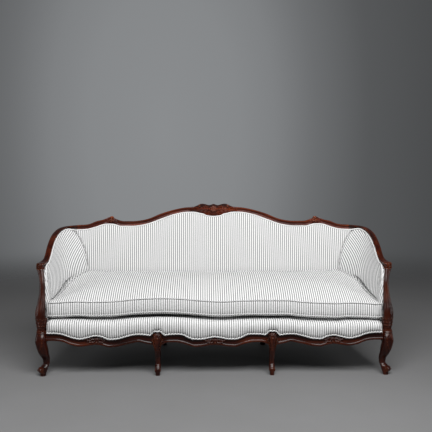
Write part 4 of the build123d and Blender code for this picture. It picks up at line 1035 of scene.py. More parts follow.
# ---- Legs ----
@dataclass
class FrontLegs(Assembly):
    """The four cabriole legs under the front rail."""

    corner: Rows = (
        (1002, -318, 262, 50, 50), (1001, -332, 236, 56, 62), (1002, -338, 208, 60, 68), (996, -336, 172, 60, 64),
        (988, -326, 130, 51, 54), (980, -306, 92, 39, 41), (980, -304, 70, 36, 38), (990, -316, 48, 44, 46),
        (992, -320, 30, 40, 42), (995, -326, 12, 34, 36), (996, -327, 0, 32, 32),
    )
    middle: Rows = tuple((MID_LEG_X, *row) for row in (
        (-320, 262, 42, 40), (-332, 232, 47, 64), (-336, 204, 43, 66), (-332, 172, 36, 56), (-320, 125, 32, 44),
        (-308, 88, 29, 34), (-307, 68, 29, 33), (-318, 46, 34, 42), (-324, 28, 32, 40), (-327, 12, 27, 34),
        (-327, 0, 26, 32),
    ))

    @staticmethod
    def block(x: float, half: float) -> Mesh:
        """The square block behind the knee that the rails are joined to."""
        mesh = bmesh.new()
        bmesh.ops.create_cube(mesh, size=1.0)
        bmesh.ops.scale(mesh, vec=Vector((2 * half, 48, 72)) * MM, verts=mesh.verts)
        bmesh.ops.translate(mesh, vec=mm(x, -309, 226), verts=mesh.verts)
        bmesh.ops.bevel(
            mesh, geom=mesh.edges[:], offset=3 * MM, segments=2, profile=0.5, affect="EDGES", material=-1
        )
        return mesh

    @staticmethod
    def foot(x: float, y: float, lean: Vector, size: float) -> list[Mesh]:
        """A scrolled foot that looks along lean: a roll across the toe, a volute at each end and a leaf over it."""
        across = lean.cross(UP).normalized()
        centre = mm(x, y, 33) + lean * size * 0.36 * MM
        roll = []
        for share in spread(9, -1, 1):
            radius = size * 0.48 * math.sqrt(max(1 - 0.45 * share * share, 0.1))
            roll.append([
                centre + across * share * size * 0.46 * MM
                + radius * MM * (math.cos(turn) * lean + math.sin(turn) * UP)
                for turn in around(24)
            ])
        made = [loft(roll)]
        for side in (-1, 1):
            frame = facing(centre + across * side * size * 0.44 * MM, lean, across * side)
            made += scroll(frame, size * 0.38, 1.3, 2.8, 0.0, -side)
        tongue = facing(centre + (UP * size * 0.38 - lean * size * 0.35) * MM, lean + 0.1 * UP, UP)
        made.append(leaf(tongue, size * 0.60, size * 0.50, 2, 0, 3, 0))
        return made

    def knee_cap(self) -> list[Mesh]:
        """A middle leg's fluted cap, the leaf below it and the scrolls beside it."""
        made = [
            shell(facing(mm(MID_LEG_X, -347, 238), RIGHT, Vector((0, -1, 0.25))), 27, 24, 17, 9),
            leaf(facing(mm(MID_LEG_X, -362, 226), Vector((0, 0.12, -1)), FRONT), 84, 30, 7, 0, 5, 2),
            bead(mm(MID_LEG_X, -366, 222), (8, 6, 8)),
        ]
        for side in (-1, 1):
            frame = facing(mm(MID_LEG_X + side * 27, -352, 212), RIGHT, Vector((0.2 * side, -1, 0)))
            made += scroll(frame, 10, 1.2, 3.2, math.pi / 2, side)
            sweep = [
                mm(MID_LEG_X + side * out, y, z)
                for out, y, z in ((22, -358, 204), (21, -358, 188), (17, -354, 168), (13, -346, 148), (11, -338, 136))
            ]
            made.append(tube(Track(sweep, 6), 3.2 * MM, 28, 8, swell=lambda share: 1.1 - 0.7 * share))
        return made

    def corner_carving(self) -> list[Mesh]:
        """The corner knee's raised edge line and a leaf falling from it."""
        lean = Vector((0.5, -1, 0)).normalized()
        rim = oval(1001, -328, 256, 27.5, 32, spread(21, math.radians(-190), math.radians(10)))
        return [
            leaf(facing(mm(1008, -359, 246), Vector((0, -0.12, -1)), lean), 92, 34, 2.6, 0, 5, 0),
            tube(Track(rim, 4), 1.8 * MM, 60, 8),
        ]

    def build(self) -> None:
        """Makes the four legs and their carving."""
        wood = self.palette.leg_wood
        heights = spread(72, BLOCK_TOP, 0)
        diagonal = Vector((0.78, -0.62, 0)).normalized()
        corner = [shaft(self.corner, heights, keel=1.0), self.block(1000, 26), *self.foot(992, -319, diagonal, 42)]
        middle = [shaft(self.middle, heights), self.block(MID_LEG_X, 20), *self.foot(MID_LEG_X, -318, FRONT, 33)]
        for name, meshes, node in (
            ("front_leg_cabriole", corner, "front_leg"), ("middle_leg_cabriole", middle, "front_mid_leg"),
            ("middle_knee_carving", self.knee_cap(), None), ("corner_knee_carving", self.corner_carving(), None),
        ):
            pair(name, merged(meshes), wood, "show_wood", node, crease=60)


# ---- Front rails ----
@dataclass
class FrontRails(Assembly):
    """The three scalloped rails between the front legs, with their leaf carving."""

    front_y: float = -344.0
    apron: float = 24.0
    centre_half: float = 307.0
    outer_start: float = 357.0
    outer_wide: float = 613.0
    centre_bay: Rows = (
        (0.0, 236, 182), (0.06, 242, 196), (0.13, 244, 196), (0.20, 241, 188), (0.255, 224, 178),
        (0.31, 215, 168), (0.39, 216, 172), (0.45, 224, 178), (0.5, 228, 180),
    )
    outer_bay: Rows = (
        (0.0, 236, 180), (0.08, 242, 190), (0.135, 244, 199), (0.19, 241, 192), (0.255, 231, 184),
        (0.335, 218, 172), (0.41, 215, 168), (0.475, 230, 178), (0.54, 236, 184), (0.61, 227, 178),
        (0.685, 218, 173), (0.765, 228, 182), (0.85, 246, 202), (0.94, 252, 208), (1.0, 252, 208),
    )
    profile: Rows = (
        (0.0, -7), (0.02, -1), (0.08, 2.4), (0.16, 3.6), (0.24, 2.6), (0.30, -0.5), (0.38, -2.4), (0.50, -2.8),
        (0.60, -2.2), (0.64, -4.6), (0.72, -5.0), (0.96, -5.4), (1.0, -7),
    )

    def edges(self, x: float) -> tuple[float, float]:
        """Upper and lower edge at a distance from the centre."""
        far = abs(x)
        if far <= self.centre_half:
            share, rows = (self.centre_half - far) / (2 * self.centre_half), self.centre_bay
        else:
            share, rows = (far - self.outer_start) / self.outer_wide, self.outer_bay
        top, low = (Gauge([(row[0], row[which]) for row in rows])(share) for which in (1, 2))
        return top, low

    def rail(self, x_low: float, x_high: float, stations: int) -> Mesh:
        """A rail with its moulded apron in front and its straight bar behind."""
        rings = []
        for x in spread(stations, x_low, x_high):
            top, low = self.edges(x)
            ring = [mm(x, self.front_y - out, low + share * (top - low)) for share, out in self.profile]
            bar = ((0, top), (0, BLOCK_TOP), (32, BLOCK_TOP), (32, 205), (1, 205), (0, low + 1))
            rings.append(ring + [mm(x, self.front_y + self.apron + deep, z) for deep, z in bar])
        return loft(rings)

    def foliage(self, x: float, reach: float) -> list[Mesh]:
        """A shell between two sprays of leaves and scrolls, low on the rail at x."""
        top, low = self.edges(x)
        z = (top + low) / 2
        made = [
            shell(facing(mm(x, self.front_y - 1, z + 4), RIGHT, FRONT), 15, 14, 9, 7),
            bead(mm(x, self.front_y - 7, z - 9), (6, 5, 6)),
        ]
        for side in (-1, 1):
            for start, rise, length, width, curl, lean in (
                (8, 4, reach, 22, -0.5, 0.35), (8, -8, reach * 0.8, 18, 0.6, -0.30),
                (26, 0, reach * 0.9, 20, 0.35, 0.0),
            ):
                root = mm(x + side * start, self.front_y + 1, z + rise)
                frame = facing(root, Vector((side, 0, lean)), FRONT)
                made.append(leaf(frame, length, width, 6.5, side * curl, 4, 2))
            frame = facing(mm(x + side * reach * 1.05, self.front_y - 1, z + 9), RIGHT, FRONT)
            made += scroll(frame, 9, 1.1, 3.0, math.pi / 2, -side)
        return made

    def build(self) -> None:
        """Makes the rails and their carving."""
        wood = self.palette.rail_wood
        piece("front_rail_centre_moulded", self.rail(-314, 314, 152), wood, "show_wood", "front_rail_centre", crease=30)
        pair("front_rail_moulded", self.rail(350, 976, 152), wood, "show_wood", "front_rail", crease=30)
        piece("front_rail_centre_leaves", merged(self.foliage(0, 50)), wood, "show_wood", crease=60)
        pair("front_rail_leaves", merged(self.foliage(682, 52)), wood, "show_wood", crease=60)


# ---- Upholstery ----
def upright_stripes(_: int, __: int, place: Vector) -> tuple[float, float]:
    """Cloth coordinates of stripes that run upright over the front or back."""
    return place.x, place.z


def bias_cut(step: float, girth: float, slant: float) -> ClothRule:
    """Cloth coordinates of a cord covered in cloth cut on the bias.

    Args:
        step: metres from one ring to the next.
        girth: metres from one point of a ring to the next.
        slant: share of both that crosses the stripes.

    Returns:
        The rule.
    """
    return lambda ring, index, _: ((ring * step + index * girth) * slant, ring * step)


@dataclass
class Upholstery:
    """Lines of the padded parts, in millimetres, and the waves that the seat has settled into."""

    deck_z: float = 325.0
    wave: Rows = (
        (-950, 3), (-810, 4), (-690, -2), (-610, -2), (-458, 10), (-300, 15), (-200, 11), (-22, -4), (45, -6),
        (155, -1), (319, 1), (411, 1), (504, -8), (640, -13), (700, -14), (781, -8), (875, -8), (950, -11),
    )
    seam_power: float = 4.6
    seam_bite: float = 9.0

    def settle(self, x: float) -> float:
        """How far the seat's front lines lie above their mean at x."""
        return Gauge(self.wave)(x)

    def back_place(self, across: float, up: float) -> Vector:
        """A place on the inside of the back, from the seat (0) to the crest rail (1); across runs from -1 to 1."""
        side_x, _, side_top = LINES.seam_top
        top_z = CREST_LOW(abs(across) * side_x) - 2
        top_z += (side_top - top_z) * smoothstep(0.97, 1.0, abs(across))
        foot_x = LINES.arm_foot[-1][0]
        x = across * (foot_x + (side_x - foot_x) * up**self.seam_power)
        top_y = LINES.crest_front(top_z) - 7
        y = LINES.back_foot_y + (top_y - LINES.back_foot_y) * up * up
        puff = 5.0 * math.sin(math.pi * up) * (1 - across**8) - self.seam_bite * smoothstep(0.986, 1.0, abs(across))
        return mm(x, y - puff, LINES.seat_z + (top_z - LINES.seat_z) * up)


@dataclass
class InsideBack(Assembly):
    """The padded inside of the back in one width of upright stripes."""

    cloth: Upholstery
    columns: int = 161
    rows: int = 42

    def build(self) -> None:
        """Makes the pad and its cover."""
        rings = []
        for across in sorted([*spread(self.columns, -1, 1), -0.996, -0.991, 0.991, 0.996]):
            ring = [self.cloth.back_place(across, up) for up in spread(self.rows)]
            top, foot = ring[-1], ring[0]
            over = [top + mm(0, 9, 3), top + mm(0, 14, -6), top + mm(0, 14, -40)]
            rings.append([*ring, *over, foot + mm(0, 50, 200), foot + mm(0, 50, 2)])
        mesh = loft(rings, upright_stripes)
        piece("inside_back", mesh, self.palette.ticking, "ticking", "back_pad")


@dataclass
class InsideArms(Assembly):
    """The padded insides of the arms: a narrow front border and the main width with its leaning stripes."""

    cloth: Upholstery
    steps: int = 7
    rows: int = 84
    tuck: float = 15.0
    across: float = 0.565
    lean: float = 0.810
    sweep: float = 2.03
    front: int = 4
    bow: float = 1.9
    foot: Rows = (
        (981, -290), (974, -288), (966, -279), (962, -262), (955, -205), (941, -135), (919, -43), (894, 34),
        (862, 106), (836, 161), (820, 190), (811, 206),
    )
    head: Rows = (
        (992, -262, 604), (988, -262, 606), (984, -257, 608), (983, -247, 611), (995, -187, 622), (988, -137, 637),
        (989, -33, 694), (989, 42, 729), (986, 132, 759), (974, 206, 779), (951, 259, 788), (918, 283, 783),
    )

    def __post_init__(self) -> None:
        """Draws the pad's foot line along the seat and its head line along the arm rail."""
        self.foot_line = Track([mm(x, y, LINES.seat_z) for x, y in self.foot], self.steps).dots
        self.head_line = Track([mm(*point) for point in self.head], self.steps).dots
        self.last = len(self.foot_line) - 1

    def place(self, index: int, up: float) -> Vector:
        """A place on the arm's inside: index counts along the foot and head lines, up runs from 0 to 1."""
        foot, head = self.foot_line[index], self.head_line[index]
        share = index / self.last
        turn = smoothstep(0.62, 1.0, share)
        along_x = self.bow + (self.cloth.seam_power - self.bow) * turn
        along_y = self.bow + 0.1 * turn
        puff = 5.0 * math.sin(math.pi * up) * math.sin(math.pi * min(share * 1.6, 1.0)) * (1 - turn)
        x = foot.x + (head.x - foot.x) * up**along_x - puff * MM
        y = foot.y + (head.y - foot.y) * up**along_y + self.cloth.seam_bite * smoothstep(0.945, 1.0, share) * MM
        z = foot.z + (head.z - foot.z) * up
        brink = (Gauge(Cushion.flank)(foot.y / MM) + 3) * MM
        fold = smoothstep(-235, -190, foot.y / MM) * smoothstep(125, 40, foot.y / MM)
        return Vector((x + self.tuck * MM * fold * smoothstep(brink + 3 * MM, brink - 5 * MM, z), y, z))

    def strip(self, start: int, end: int, rule: Callable[[float, float], tuple[float, float]]) -> Mesh:
        """The pad between two stations; rule turns the run along a row and the height into cloth coordinates."""
        rings: list[Ring] = []
        runs: list[list[float]] = []
        for index in range(start, end + 1):
            ring = [self.place(index, up) for up in spread(self.rows)]
            outward = self.head_line[index] - self.foot_line[index]
            outward.z = 0
            if index < 3 * self.steps:
                outward = Vector((0.4, 0.9, 0))
            elif outward.length < 0.03:
                outward = RIGHT
            outward = outward.normalized()
            top, foot = ring[-1], ring[0]
            for base, out, rise in ((top, 9, 2), (top, 11, -10), (foot, 22, 120), (foot, 22, 0)):
                ring.append(base + outward * out * MM + mm(0, 0, rise))
            steps = [(b - a).xy.length for a, b in zip(rings[-1], ring)] if rings else [0.0] * len(ring)
            runs.append([run + step for run, step in zip(runs[-1] if runs else steps, steps)])
            rings.append(ring)
        return loft(rings, lambda ring, index, place: rule(runs[ring][index], place.z))

    def build(self) -> None:
        """Makes both arms' pads."""
        seam = self.front * self.steps
        border = self.strip(0, seam, lambda run, z: (run * 1.08 + 0.28 * z, z))
        main = self.strip(seam, self.last, lambda run, z: (
            self.across * run - self.lean * z - self.sweep * (z - 0.65) ** 2, z
        ))
        for made in pair("inside_arm", merged([border, main]), self.palette.ticking, "ticking", "arm_pad"):
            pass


@dataclass
class Platform(Assembly):
    """The sprung platform with its padded roll over the front rail."""

    cloth: Upholstery
    rails: FrontRails
    half: float = 968.0
    front_y: float = -364.0
    tuck_y: float = -343.0
    over_y: float = -318.0
    deck: float = 328.0
    under: float = 270.0
    stations: int = 233

    def lower_edge(self, x: float) -> float:
        """Where the roll tucks in over the welt, from the rail's upper edge or a middle leg's cap."""
        gap = leg_gap(x)
        cap = BLOCK_TOP * smoothstep(34, 22, gap)
        near = self.rails.edges(x)[0] if gap > 25 else 240.0
        return max(near, cap, near + (BLOCK_TOP - near) * smoothstep(40, 20, gap)) + 9

    def ring(self, x: float) -> Ring:
        """The roll's section at x, from the tuck over the welt round the front and over the top."""
        low = self.lower_edge(x)
        settle = self.cloth.settle(x)
        top = self.cloth.deck_z + settle
        end = smoothstep(self.half - 30, self.half, abs(x))
        front = self.front_y + 24 * end * end
        top -= 14 * end * end
        roll = []
        for step in spread(17):
            turn = math.pi * (0.5 - step) * 0.98
            bulge = max(math.cos(turn), 0.0) ** 0.72
            root = self.over_y if step > 0.5 else self.tuck_y
            roll.append((root + (front - root) * bulge, low + (top - low) * (0.5 - 0.5 * math.sin(turn))))
        roll.sort(key=lambda point: point[1])
        back = self.back_edge(abs(x))
        over = [(-300, top + 1 - settle * 0.1), (-260, self.deck), (-200, self.deck)]
        over += [(y, self.deck) for y in spread(6, min(-150, back - 1), back)] + [(back, self.deck - 2)]
        under = [(back, self.under), (-315, self.under), (-319, low)]
        return [mm(x, y, z) for y, z in roll + over + under]

    @staticmethod
    def back_edge(x: float) -> float:
        """How far back the platform goes at x: to the back pad or an arm's pad."""
        return Gauge([(foot_x - 1, y) for foot_x, y in LINES.arm_foot] + [(0, 205)])(x) if x > 811 else 205.0

    def build(self) -> None:
        """Makes the platform."""
        rings = [self.ring(x) for x in spread(self.stations, -self.half, self.half)]
        mesh = loft(rings, lambda _, __, place: (place.x, place.z - place.y))
        piece("seat_platform", mesh, self.palette.ticking, "ticking", "seat_deck")


@dataclass
class Cushion(Assembly):
    """The long loose seat cushion: crowned, boxed, piped along both seams and settled over the platform."""

    cloth: Upholstery
    front: float = -327.0
    half: float = 974.0
    upper_z: float = 437.0
    lower_z: float = 360.0
    lean: float = 5.0
    voxel: float = 0.009
    frames: int = 20
    cap: float = 0.010
    pressure: float = 4.0
    seam_zone: float = 46.0
    seam_bite: float = 3.2
    stations: int = 141
    sides: Rows = (
        (974, -300), (970, -272), (955, -205), (938, -135), (912, -43), (887, 34), (855, 106), (829, 161),
        (815, 188), (804, 200),
    )
    middle: Rows = (
        (-327, 437), (-300, 457), (-250, 481), (-150, 509), (-50, 524), (50, 531), (130, 530), (200, 523),
    )
    flank: Rows = (
        (-327, 422), (-200, 425), (-146, 432), (-81, 449), (-5, 475), (77, 503), (134, 517), (200, 526),
    )

    def seam(self, x: float, upper: bool) -> float:
        """Height of the front's upper or lower seam at x."""
        fall = (abs(x) / 964) ** 4
        mean = self.upper_z - 15 * fall if upper else self.lower_z - 13 * fall
        return mean + self.cloth.settle(x)

    def front_edge(self, x: float, upper: bool) -> float:
        """How far forward the upper or lower seam runs at x: the boxing leans back and rounds the corners."""
        return self.front + (self.lean if upper else 0.0) + 20 * smoothstep(915, self.half, abs(x)) ** 2

    def back_edge(self, x: float) -> float:
        """How far back the cushion reaches at x."""
        return Gauge(self.sides)(abs(x))

    def height(self, x: float, share: float, upper: bool) -> float:
        """Height of the top or the underside at x, a share of the way from front to back."""
        start = self.front_edge(x, upper)
        behind = (self.back_edge(x) - start) * share
        if upper:
            y = start + behind
            fade = self.cloth.settle(x) * smoothstep(0, 200, behind)
            near = min(abs(x) / Gauge([(side_y, side_x) for side_x, side_y in self.sides])(y), 1.0) ** 6
            middle, flank = Gauge(self.middle)(y) - self.upper_z, Gauge(self.flank)(y) - self.flank[0][1]
            return self.seam(x, True) - fade + middle * (1 - near) + flank * near
        under = self.seam(x, False) - 17 * (1 - math.exp(-behind / 5))
        rest = self.cloth.deck_z + 4.5 + self.cloth.settle(x) * smoothstep(160, 20, behind)
        return under + (rest - under) * smoothstep(8, 90, behind) + 16 * smoothstep(0.93, 1.0, share)

    def rough(self) -> Mesh:
        """The shape that the filling gives it, a little slack."""
        rings = []
        shares = [step**1.7 for step in spread(26)]
        for step in spread(self.stations, -1, 1):
            x = self.half * (0.45 * math.sin(step * math.pi / 2) + 0.55 * step)
            back = self.back_edge(x)
            ring = []
            for upper, order in ((True, shares), (False, shares[::-1])):
                start = self.front_edge(x, upper)
                ring += [mm(x, start + (back - start) * share, self.height(x, share, upper)) for share in order]
            low, high, front = self.seam(x, False), self.seam(x, True), self.front_edge(x, False)
            rings.append(ring + [mm(x, front + out, low + (high - low) * up) for up, out in ((0.3, -3), (0.7, 0))])
        return loft(rings)

    def blow(self, made: Item) -> None:
        """Remeshes the rough form and lets the cloth swell between its seams."""
        remesh = made.modifiers.new("voxels", "REMESH")
        remesh.mode = "VOXEL"
        remesh.voxel_size = self.voxel
        apply_modifiers(made)
        start = [vertex.co.copy() for vertex in made.data.vertices]
        held = made.vertex_groups.new(name="held")
        for index, place in enumerate(start):
            if self.near_seam(place):
                held.add([index], 1.0, "REPLACE")
        swell = made.modifiers.new("swelling", "CLOTH")
        settings = swell.settings
        settings.use_pressure = True
        settings.uniform_pressure_force = self.pressure
        settings.quality = 4
        settings.tension_stiffness = settings.compression_stiffness = 12.0
        settings.bending_stiffness = 0.4
        settings.effector_weights.gravity = 0.0
        settings.vertex_group_mass = "held"
        swell.collision_settings.use_collision = False
        scene = bpy.context.scene
        for frame in range(1, self.frames + 1):
            scene.frame_set(frame)
        apply_modifiers(made)
        scene.frame_set(1)
        for vertex, origin in zip(made.data.vertices, start):
            step = vertex.co - origin
            if step.length > self.cap:
                step *= self.cap / step.length
            vertex.co = origin + step
        made.vertex_groups.clear()

    def near_seam(self, place: Vector) -> bool:
        """Whether a place lies on one of the four long seams."""
        x, y, z = place / MM
        front = any(
            y < self.front_edge(x, upper) + 7 and abs(z - self.seam(x, upper)) < 8 for upper in (True, False)
        )
        back = self.back_edge(x)
        rear = y > back - 7 and min(abs(z - self.height(x, 1.0, True)), abs(z - self.height(x, 1.0, False))) < 8
        return front or rear

    def dress(self, made: Item) -> None:
        """Lets the seams bite, puckers the cloth beside them and gives it its cloth coordinates."""
        for vertex in made.data.vertices:
            x, y, z = vertex.co / MM
            for upper in (True, False):
                gap = math.hypot(y - self.front_edge(x, upper), z - self.seam(x, upper))
                if gap < self.seam_zone:
                    ripple = noise.noise(Vector((x * 0.033, 3.0 if upper else 9.0, 0.0)))
                    fine = noise.noise(Vector((x * 0.095, 17.0 if upper else 5.0, 0.0)))
                    depth = (1.6 * ripple + 1.3 * fine) * math.exp(-(((gap - 12) / 14) ** 2))
                    bite = self.seam_bite * math.exp(-((gap / 5.5) ** 2))
                    vertex.co.y += (bite + depth) * MM
            lift = noise.noise(Vector((x * 0.0042, y * 0.0065, 1.7))) * 5.0
            if z > 430:
                vertex.co.z += lift * smoothstep(0, 120, y - self.front) * MM
        mesh = bmesh.new()
        mesh.from_mesh(made.data)
        layer = mesh.loops.layers.uv.new("cloth")
        for face in mesh.faces:
            for corner in face.loops:
                place = corner.vert.co
                corner[layer].uv = (place.x, place.z + place.y)
        mesh.to_mesh(made.data)
        mesh.free()
        made.data.shade_smooth()

    def piping(self) -> None:
        """Runs the self-covered cords along the seams: front, sides and back."""
        rings = 900
        for name, upper, radius in (("upper", True, 2.6), ("lower", False, 3.3)):
            front = [mm(x, self.front_edge(x, upper) - 2.2, self.seam(x, upper)) for x in spread(75, -962, 962)]
            side = [mm(975, -303, self.seam(974, upper))]
            side += [mm(x + 2, y, self.height(x - 1, 1.0, upper)) for x, y in self.sides[1:]]
            rear = [mm(x, 200, self.height(x, 1.0, upper)) for x in spread(61, 790, -790)]
            line = Track([*front, *side, *rear, *mirrored(reversed(side)), front[0]], 3)
            mesh = tube(line, radius * MM, rings, 6, bias_cut(line.length / rings, radius * MM, 0.72))
            piece(f"cushion_piping_{name}", mesh, self.palette.ticking, "welt", body=Body.CUSHION)

    def build(self) -> None:
        """Makes the cushion and its piping."""
        cover = self.palette.ticking
        made = piece("long_seat_cushion", self.rough(), cover, "ticking", "seat_cushion", body=Body.CUSHION)
        self.blow(made)
        self.dress(made)
        soft = made.modifiers.new("rounding", "SUBSURF")
        soft.levels = soft.render_levels = 1
        self.piping()


def apply_modifiers(made: Item) -> None:
    """Bakes an object's modifiers into its mesh."""
    depsgraph = bpy.context.evaluated_depsgraph_get()
    fresh = bpy.data.meshes.new_from_object(made.evaluated_get(depsgraph), depsgraph=depsgraph)
    fresh.name = made.name
    made.modifiers.clear()
    made.data = fresh


# ---- Welts ----
@dataclass
class Welts(Assembly):
    """The bias-cut welt over the front rail and the thin self-welt along the show-wood."""

    platform: Platform

    def front(self) -> Mesh:
        """The welt from one corner leg to the other, up and over both middle legs."""
        line = Track([
            mm(x, -351.5 - 9 * smoothstep(36, 12, leg_gap(x)), self.platform.lower_edge(x) - 4.5)
            for x in spread(161, -966, 966)
        ], 3)
        radius, rings = 4.7 * MM, 640
        return tube(line, radius, rings, 10, bias_cut(line.length / rings, 0.8 * radius, 0.71))

    def crest(self) -> Mesh:
        """The self-welt under the crest rail and down both arm rails to the posts."""
        right = [mm(x - 1.5, y - 1, z + 3) for x, y, z in InsideArms.head[3:-1]]
        right = [mm(980, -274, 470), mm(980, -266, 560), mm(981, -257, 604), *right]
        middle = []
        for x in spread(81, -905, 905):
            z = CREST_LOW(abs(x)) - 1.5
            middle.append(mm(x, LINES.crest_front(z) - 7.5, z - 0.5))
        line = Track([*mirrored(right), *middle, *reversed(right)], 4)
        return tube(line, 4.0 * MM, 900, 8, lambda _, index, __: (0.0014 + index * 0.0002, 0.0))

    def build(self) -> None:
        """Makes the welts."""
        piece("front_welt", self.front(), self.palette.ticking, "welt", "front_rail_welt")
        piece("show_wood_welt", self.crest(), self.palette.ticking, "welt")


# ---- Sheets of cloth ----
def sheet_piece(name: str, rows: Sequence[Sequence[Vector]], thick: float, material: bpy.types.Material, slot: str,
                node: str, cloth: ClothRule | None = None,
                cut: Callable[[Vector], bool] | None = None) -> Item:
    """A stretched sheet of cloth from rows of places on it.

    Args:
        name: the piece's name.
        rows: rows of places on its inner side.
        thick: its thickness in millimetres.
        material: its finish.
        slot: the record's material slot.
        node: the node that it replaces.
        cloth: cloth coordinates of a place.
        cut: says where the sheet is cut away, from a face's middle.

    Returns:
        The object.
    """
    mesh = loft(rows, cloth, closed=False)
    if cut:
        waste = [face for face in mesh.faces if cut(face.calc_center_median())]
        bmesh.ops.delete(mesh, geom=waste, context="FACES")
    area = sum(face.calc_area() for face in mesh.faces)
    wide = sum((b - a).length for a, b in zip(rows[0], rows[0][1:]))
    bmesh.ops.solidify(mesh, geom=mesh.faces[:], thickness=thick * MM)
    bmesh.ops.recalc_face_normals(mesh, faces=mesh.faces)
    made = piece(name, mesh, material, slot, node)
    round(area / wide, 3)
    return made


@dataclass
class OutsideCovers(Assembly):
    """The flat outside covers of the arms and the back."""

    low: Rows = (
        (1000, -292), (990, -137), (977, -33), (967, 42), (955, 132), (944, 217), (955, 270), (945, 304),
    )
    high: Rows = (
        (1008, -244, 604), (1011, -137, 626), (1012, -33, 683), (1012, 42, 718), (1009, 132, 747), (996, 217, 767),
        (965, 282, 776), (926, 322, 780),
    )

    def arm(self, side: float) -> list[Ring]:
        """Rows of the outside arm cover on one side."""
        low = Track([mm(x, y, 263) for x, y in self.low], 6).dots
        high = Track([mm(*point) for point in self.high], 6).dots
        rows = [
            [a.lerp(b, up) - mm(4 * math.sin(math.pi * up), 0, 0) for a, b in zip(low, high)] for up in spread(22)
        ]
        return rows if side > 0 else [mirrored(row) for row in rows]

    def back(self) -> list[Ring]:
        """Rows of the outside back cover."""
        rows = []
        for up in spread(30):
            row = []
            for x in spread(97, -922, 922):
                z = 214 + (CREST_LOW(abs(x)) + 5 - 214) * up
                y = 306 + (z - 213) * 0.0518 if z < 785 else 335.6 + (z - 785) * 0.101
                row.append(mm(x, y - 2 * math.sin(math.pi * up), z))
            rows.append(row)
        return rows

    def build(self) -> None:
        """Makes the three covers."""
        cover = self.palette.ticking
        for name, side in SIDES.items():
            sheet_piece(
                f"outside_arm_{name}", self.arm(side), 3.5, cover, "ticking", f"outside_arm_cover_{name}",
                lambda _, __, place: (place.y, place.z),
            )
        sheet_piece(
            "outside_back", self.back(), 3.5, cover, "ticking", "outside_back_cover",
            upright_stripes,
        )


@dataclass
class HiddenCloths(Assembly):
    """Dust cloth, hessian and webbing."""

    @staticmethod
    def side_x(y: float) -> float:
        """Centre line of a side rail."""
        return 1000 - 70 * (y + 282) / 527

    @staticmethod
    def back_y(z: float) -> float:
        """Middle of the back's straps at a height."""
        return 262.3 + (z - 269) * 0.1029

    def plan(self, y_low: float, y_high: float, z: float, inset: float, sag: float) -> list[Ring]:
        """Rows of a level cloth between the side rails that sags between the braces."""
        rows = []
        marks = sorted({*spread(9, -282, 245), y_low, y_high})
        for y in [mark for mark in marks if y_low <= mark <= y_high]:
            row = []
            half = self.side_x(y) - inset
            columns = sorted({*spread(25, -1, 1), *(s * k for s in (-1, 1) for k in (0.305, 0.36, 0.955))})
            for share in columns:
                x = share * half
                bay = math.cos(math.pi * x / (2 * MID_LEG_X))
                if abs(x) > MID_LEG_X:
                    bay = math.sin(math.pi * min(leg_gap(x) / 320, 1.0))
                drop = sag * max(bay, 0.0) * math.sin(math.pi * (y - y_low) / (y_high - y_low))
                row.append(mm(x, y, z - drop))
            rows.append(row)
        return rows

    def back_rows(self) -> list[Ring]:
        """Rows of the cloth over the back's straps."""
        rows = []
        for up in spread(20):
            row = []
            for across in spread(41, -1, 1):
                x = across * (812 + 70 * up**3)
                z = 270 + (CREST_LOW(abs(x)) - 6 - 270) * up
                row.append(mm(x, self.back_y(z) - 2, z))
            rows.append(row)
        return rows

    @staticmethod
    def on_leg(place: Vector) -> bool:
        """Whether a place is under one of the eight leg blocks."""
        x, y = abs(place.x) / MM, place.y / MM
        near = leg_gap(x) < 33
        return (y < -282 and (x > 955 or near)) or (y > 245 and (x > 885 or near))

    def strap(self, low: Vector, high: Vector, along: Vector) -> Mesh:
        """A strap from a low place to a high one, along being half its width."""
        rings = []
        out = (high - low).cross(along).normalized() * MM
        for share in spread(9):
            place = low.lerp(high, share)
            rings.append([place - along - out, place + along - out, place + along + out, place - along + out])
        return loft(rings)

    def webbing(self) -> None:
        """Makes the upright straps of the back and the arms."""
        straps = []
        for index in range(12):
            x = -781 + 1562 * (index + 0.5) / 12
            if abs(abs(x) - 300) < 50:
                continue
            top = min(CREST_LOW(abs(x) - 25), CREST_LOW(abs(x) + 25)) - 8
            low, high = (mm(x, self.back_y(z), z) for z in (270, top))
            straps.append(self.strap(low, high, mm(24.5, 0, 0)))
        piece("back_straps", merged(straps), self.palette.webbing, "webbing", "back_webbing")
        arm = []
        for y, high_x, high_z in ((-137, 999.5, 612), (-33, 999.5, 669), (42, 999.5, 704), (132, 996.5, 733)):
            low = mm(self.side_x(y) - 5, y, 301)
            arm.append(self.strap(low, mm(high_x, y, high_z), mm(0, 19.5, 0)))
        pair("arm_straps", merged(arm), self.palette.webbing, "webbing", "arm_webbing")

    def build(self) -> None:
        """Makes every hidden cloth."""
        sheet_piece(
            "dust_cloth", self.plan(-312, 285, 204.5, 8, 5), 0.8, self.palette.dust_cloth, "dust_cloth",
            "bottom_cloth", cut=self.on_leg,
        )
        sheet_piece(
            "spring_hessian", self.plan(-280, 245, 268.6, 15, 0), 0.9, self.palette.hessian, "hessian",
            "seat_hessian",
        )
        sheet_piece(
            "back_hessian_cloth", self.back_rows(), 0.8, self.palette.hessian, "hessian", "back_hessian",
        )
        self.webbing()


# ---- Finishes of the carried-over parts ----
def dress_frame(nodes: dict[str, Item], palette: Palette) -> None:
    """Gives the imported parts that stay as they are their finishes.

    Args:
        nodes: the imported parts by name.
        palette: the finishes.
    """
    finishes = {
        "rear_leg": palette.leg_wood, "rear_mid_leg": palette.leg_wood, "side_rail": palette.arm_wood,
        "zigzag_springs": palette.steel, "spring_clips": palette.steel, "corner_block_screws": palette.steel,
        "bottom_cloth_tacks": palette.steel,
    }
    for name, node in nodes.items():
        stem = name.removesuffix("_left").removesuffix("_right")
        node.data.materials.clear()
        node.data.materials.append(finishes.get(stem, palette.beech))


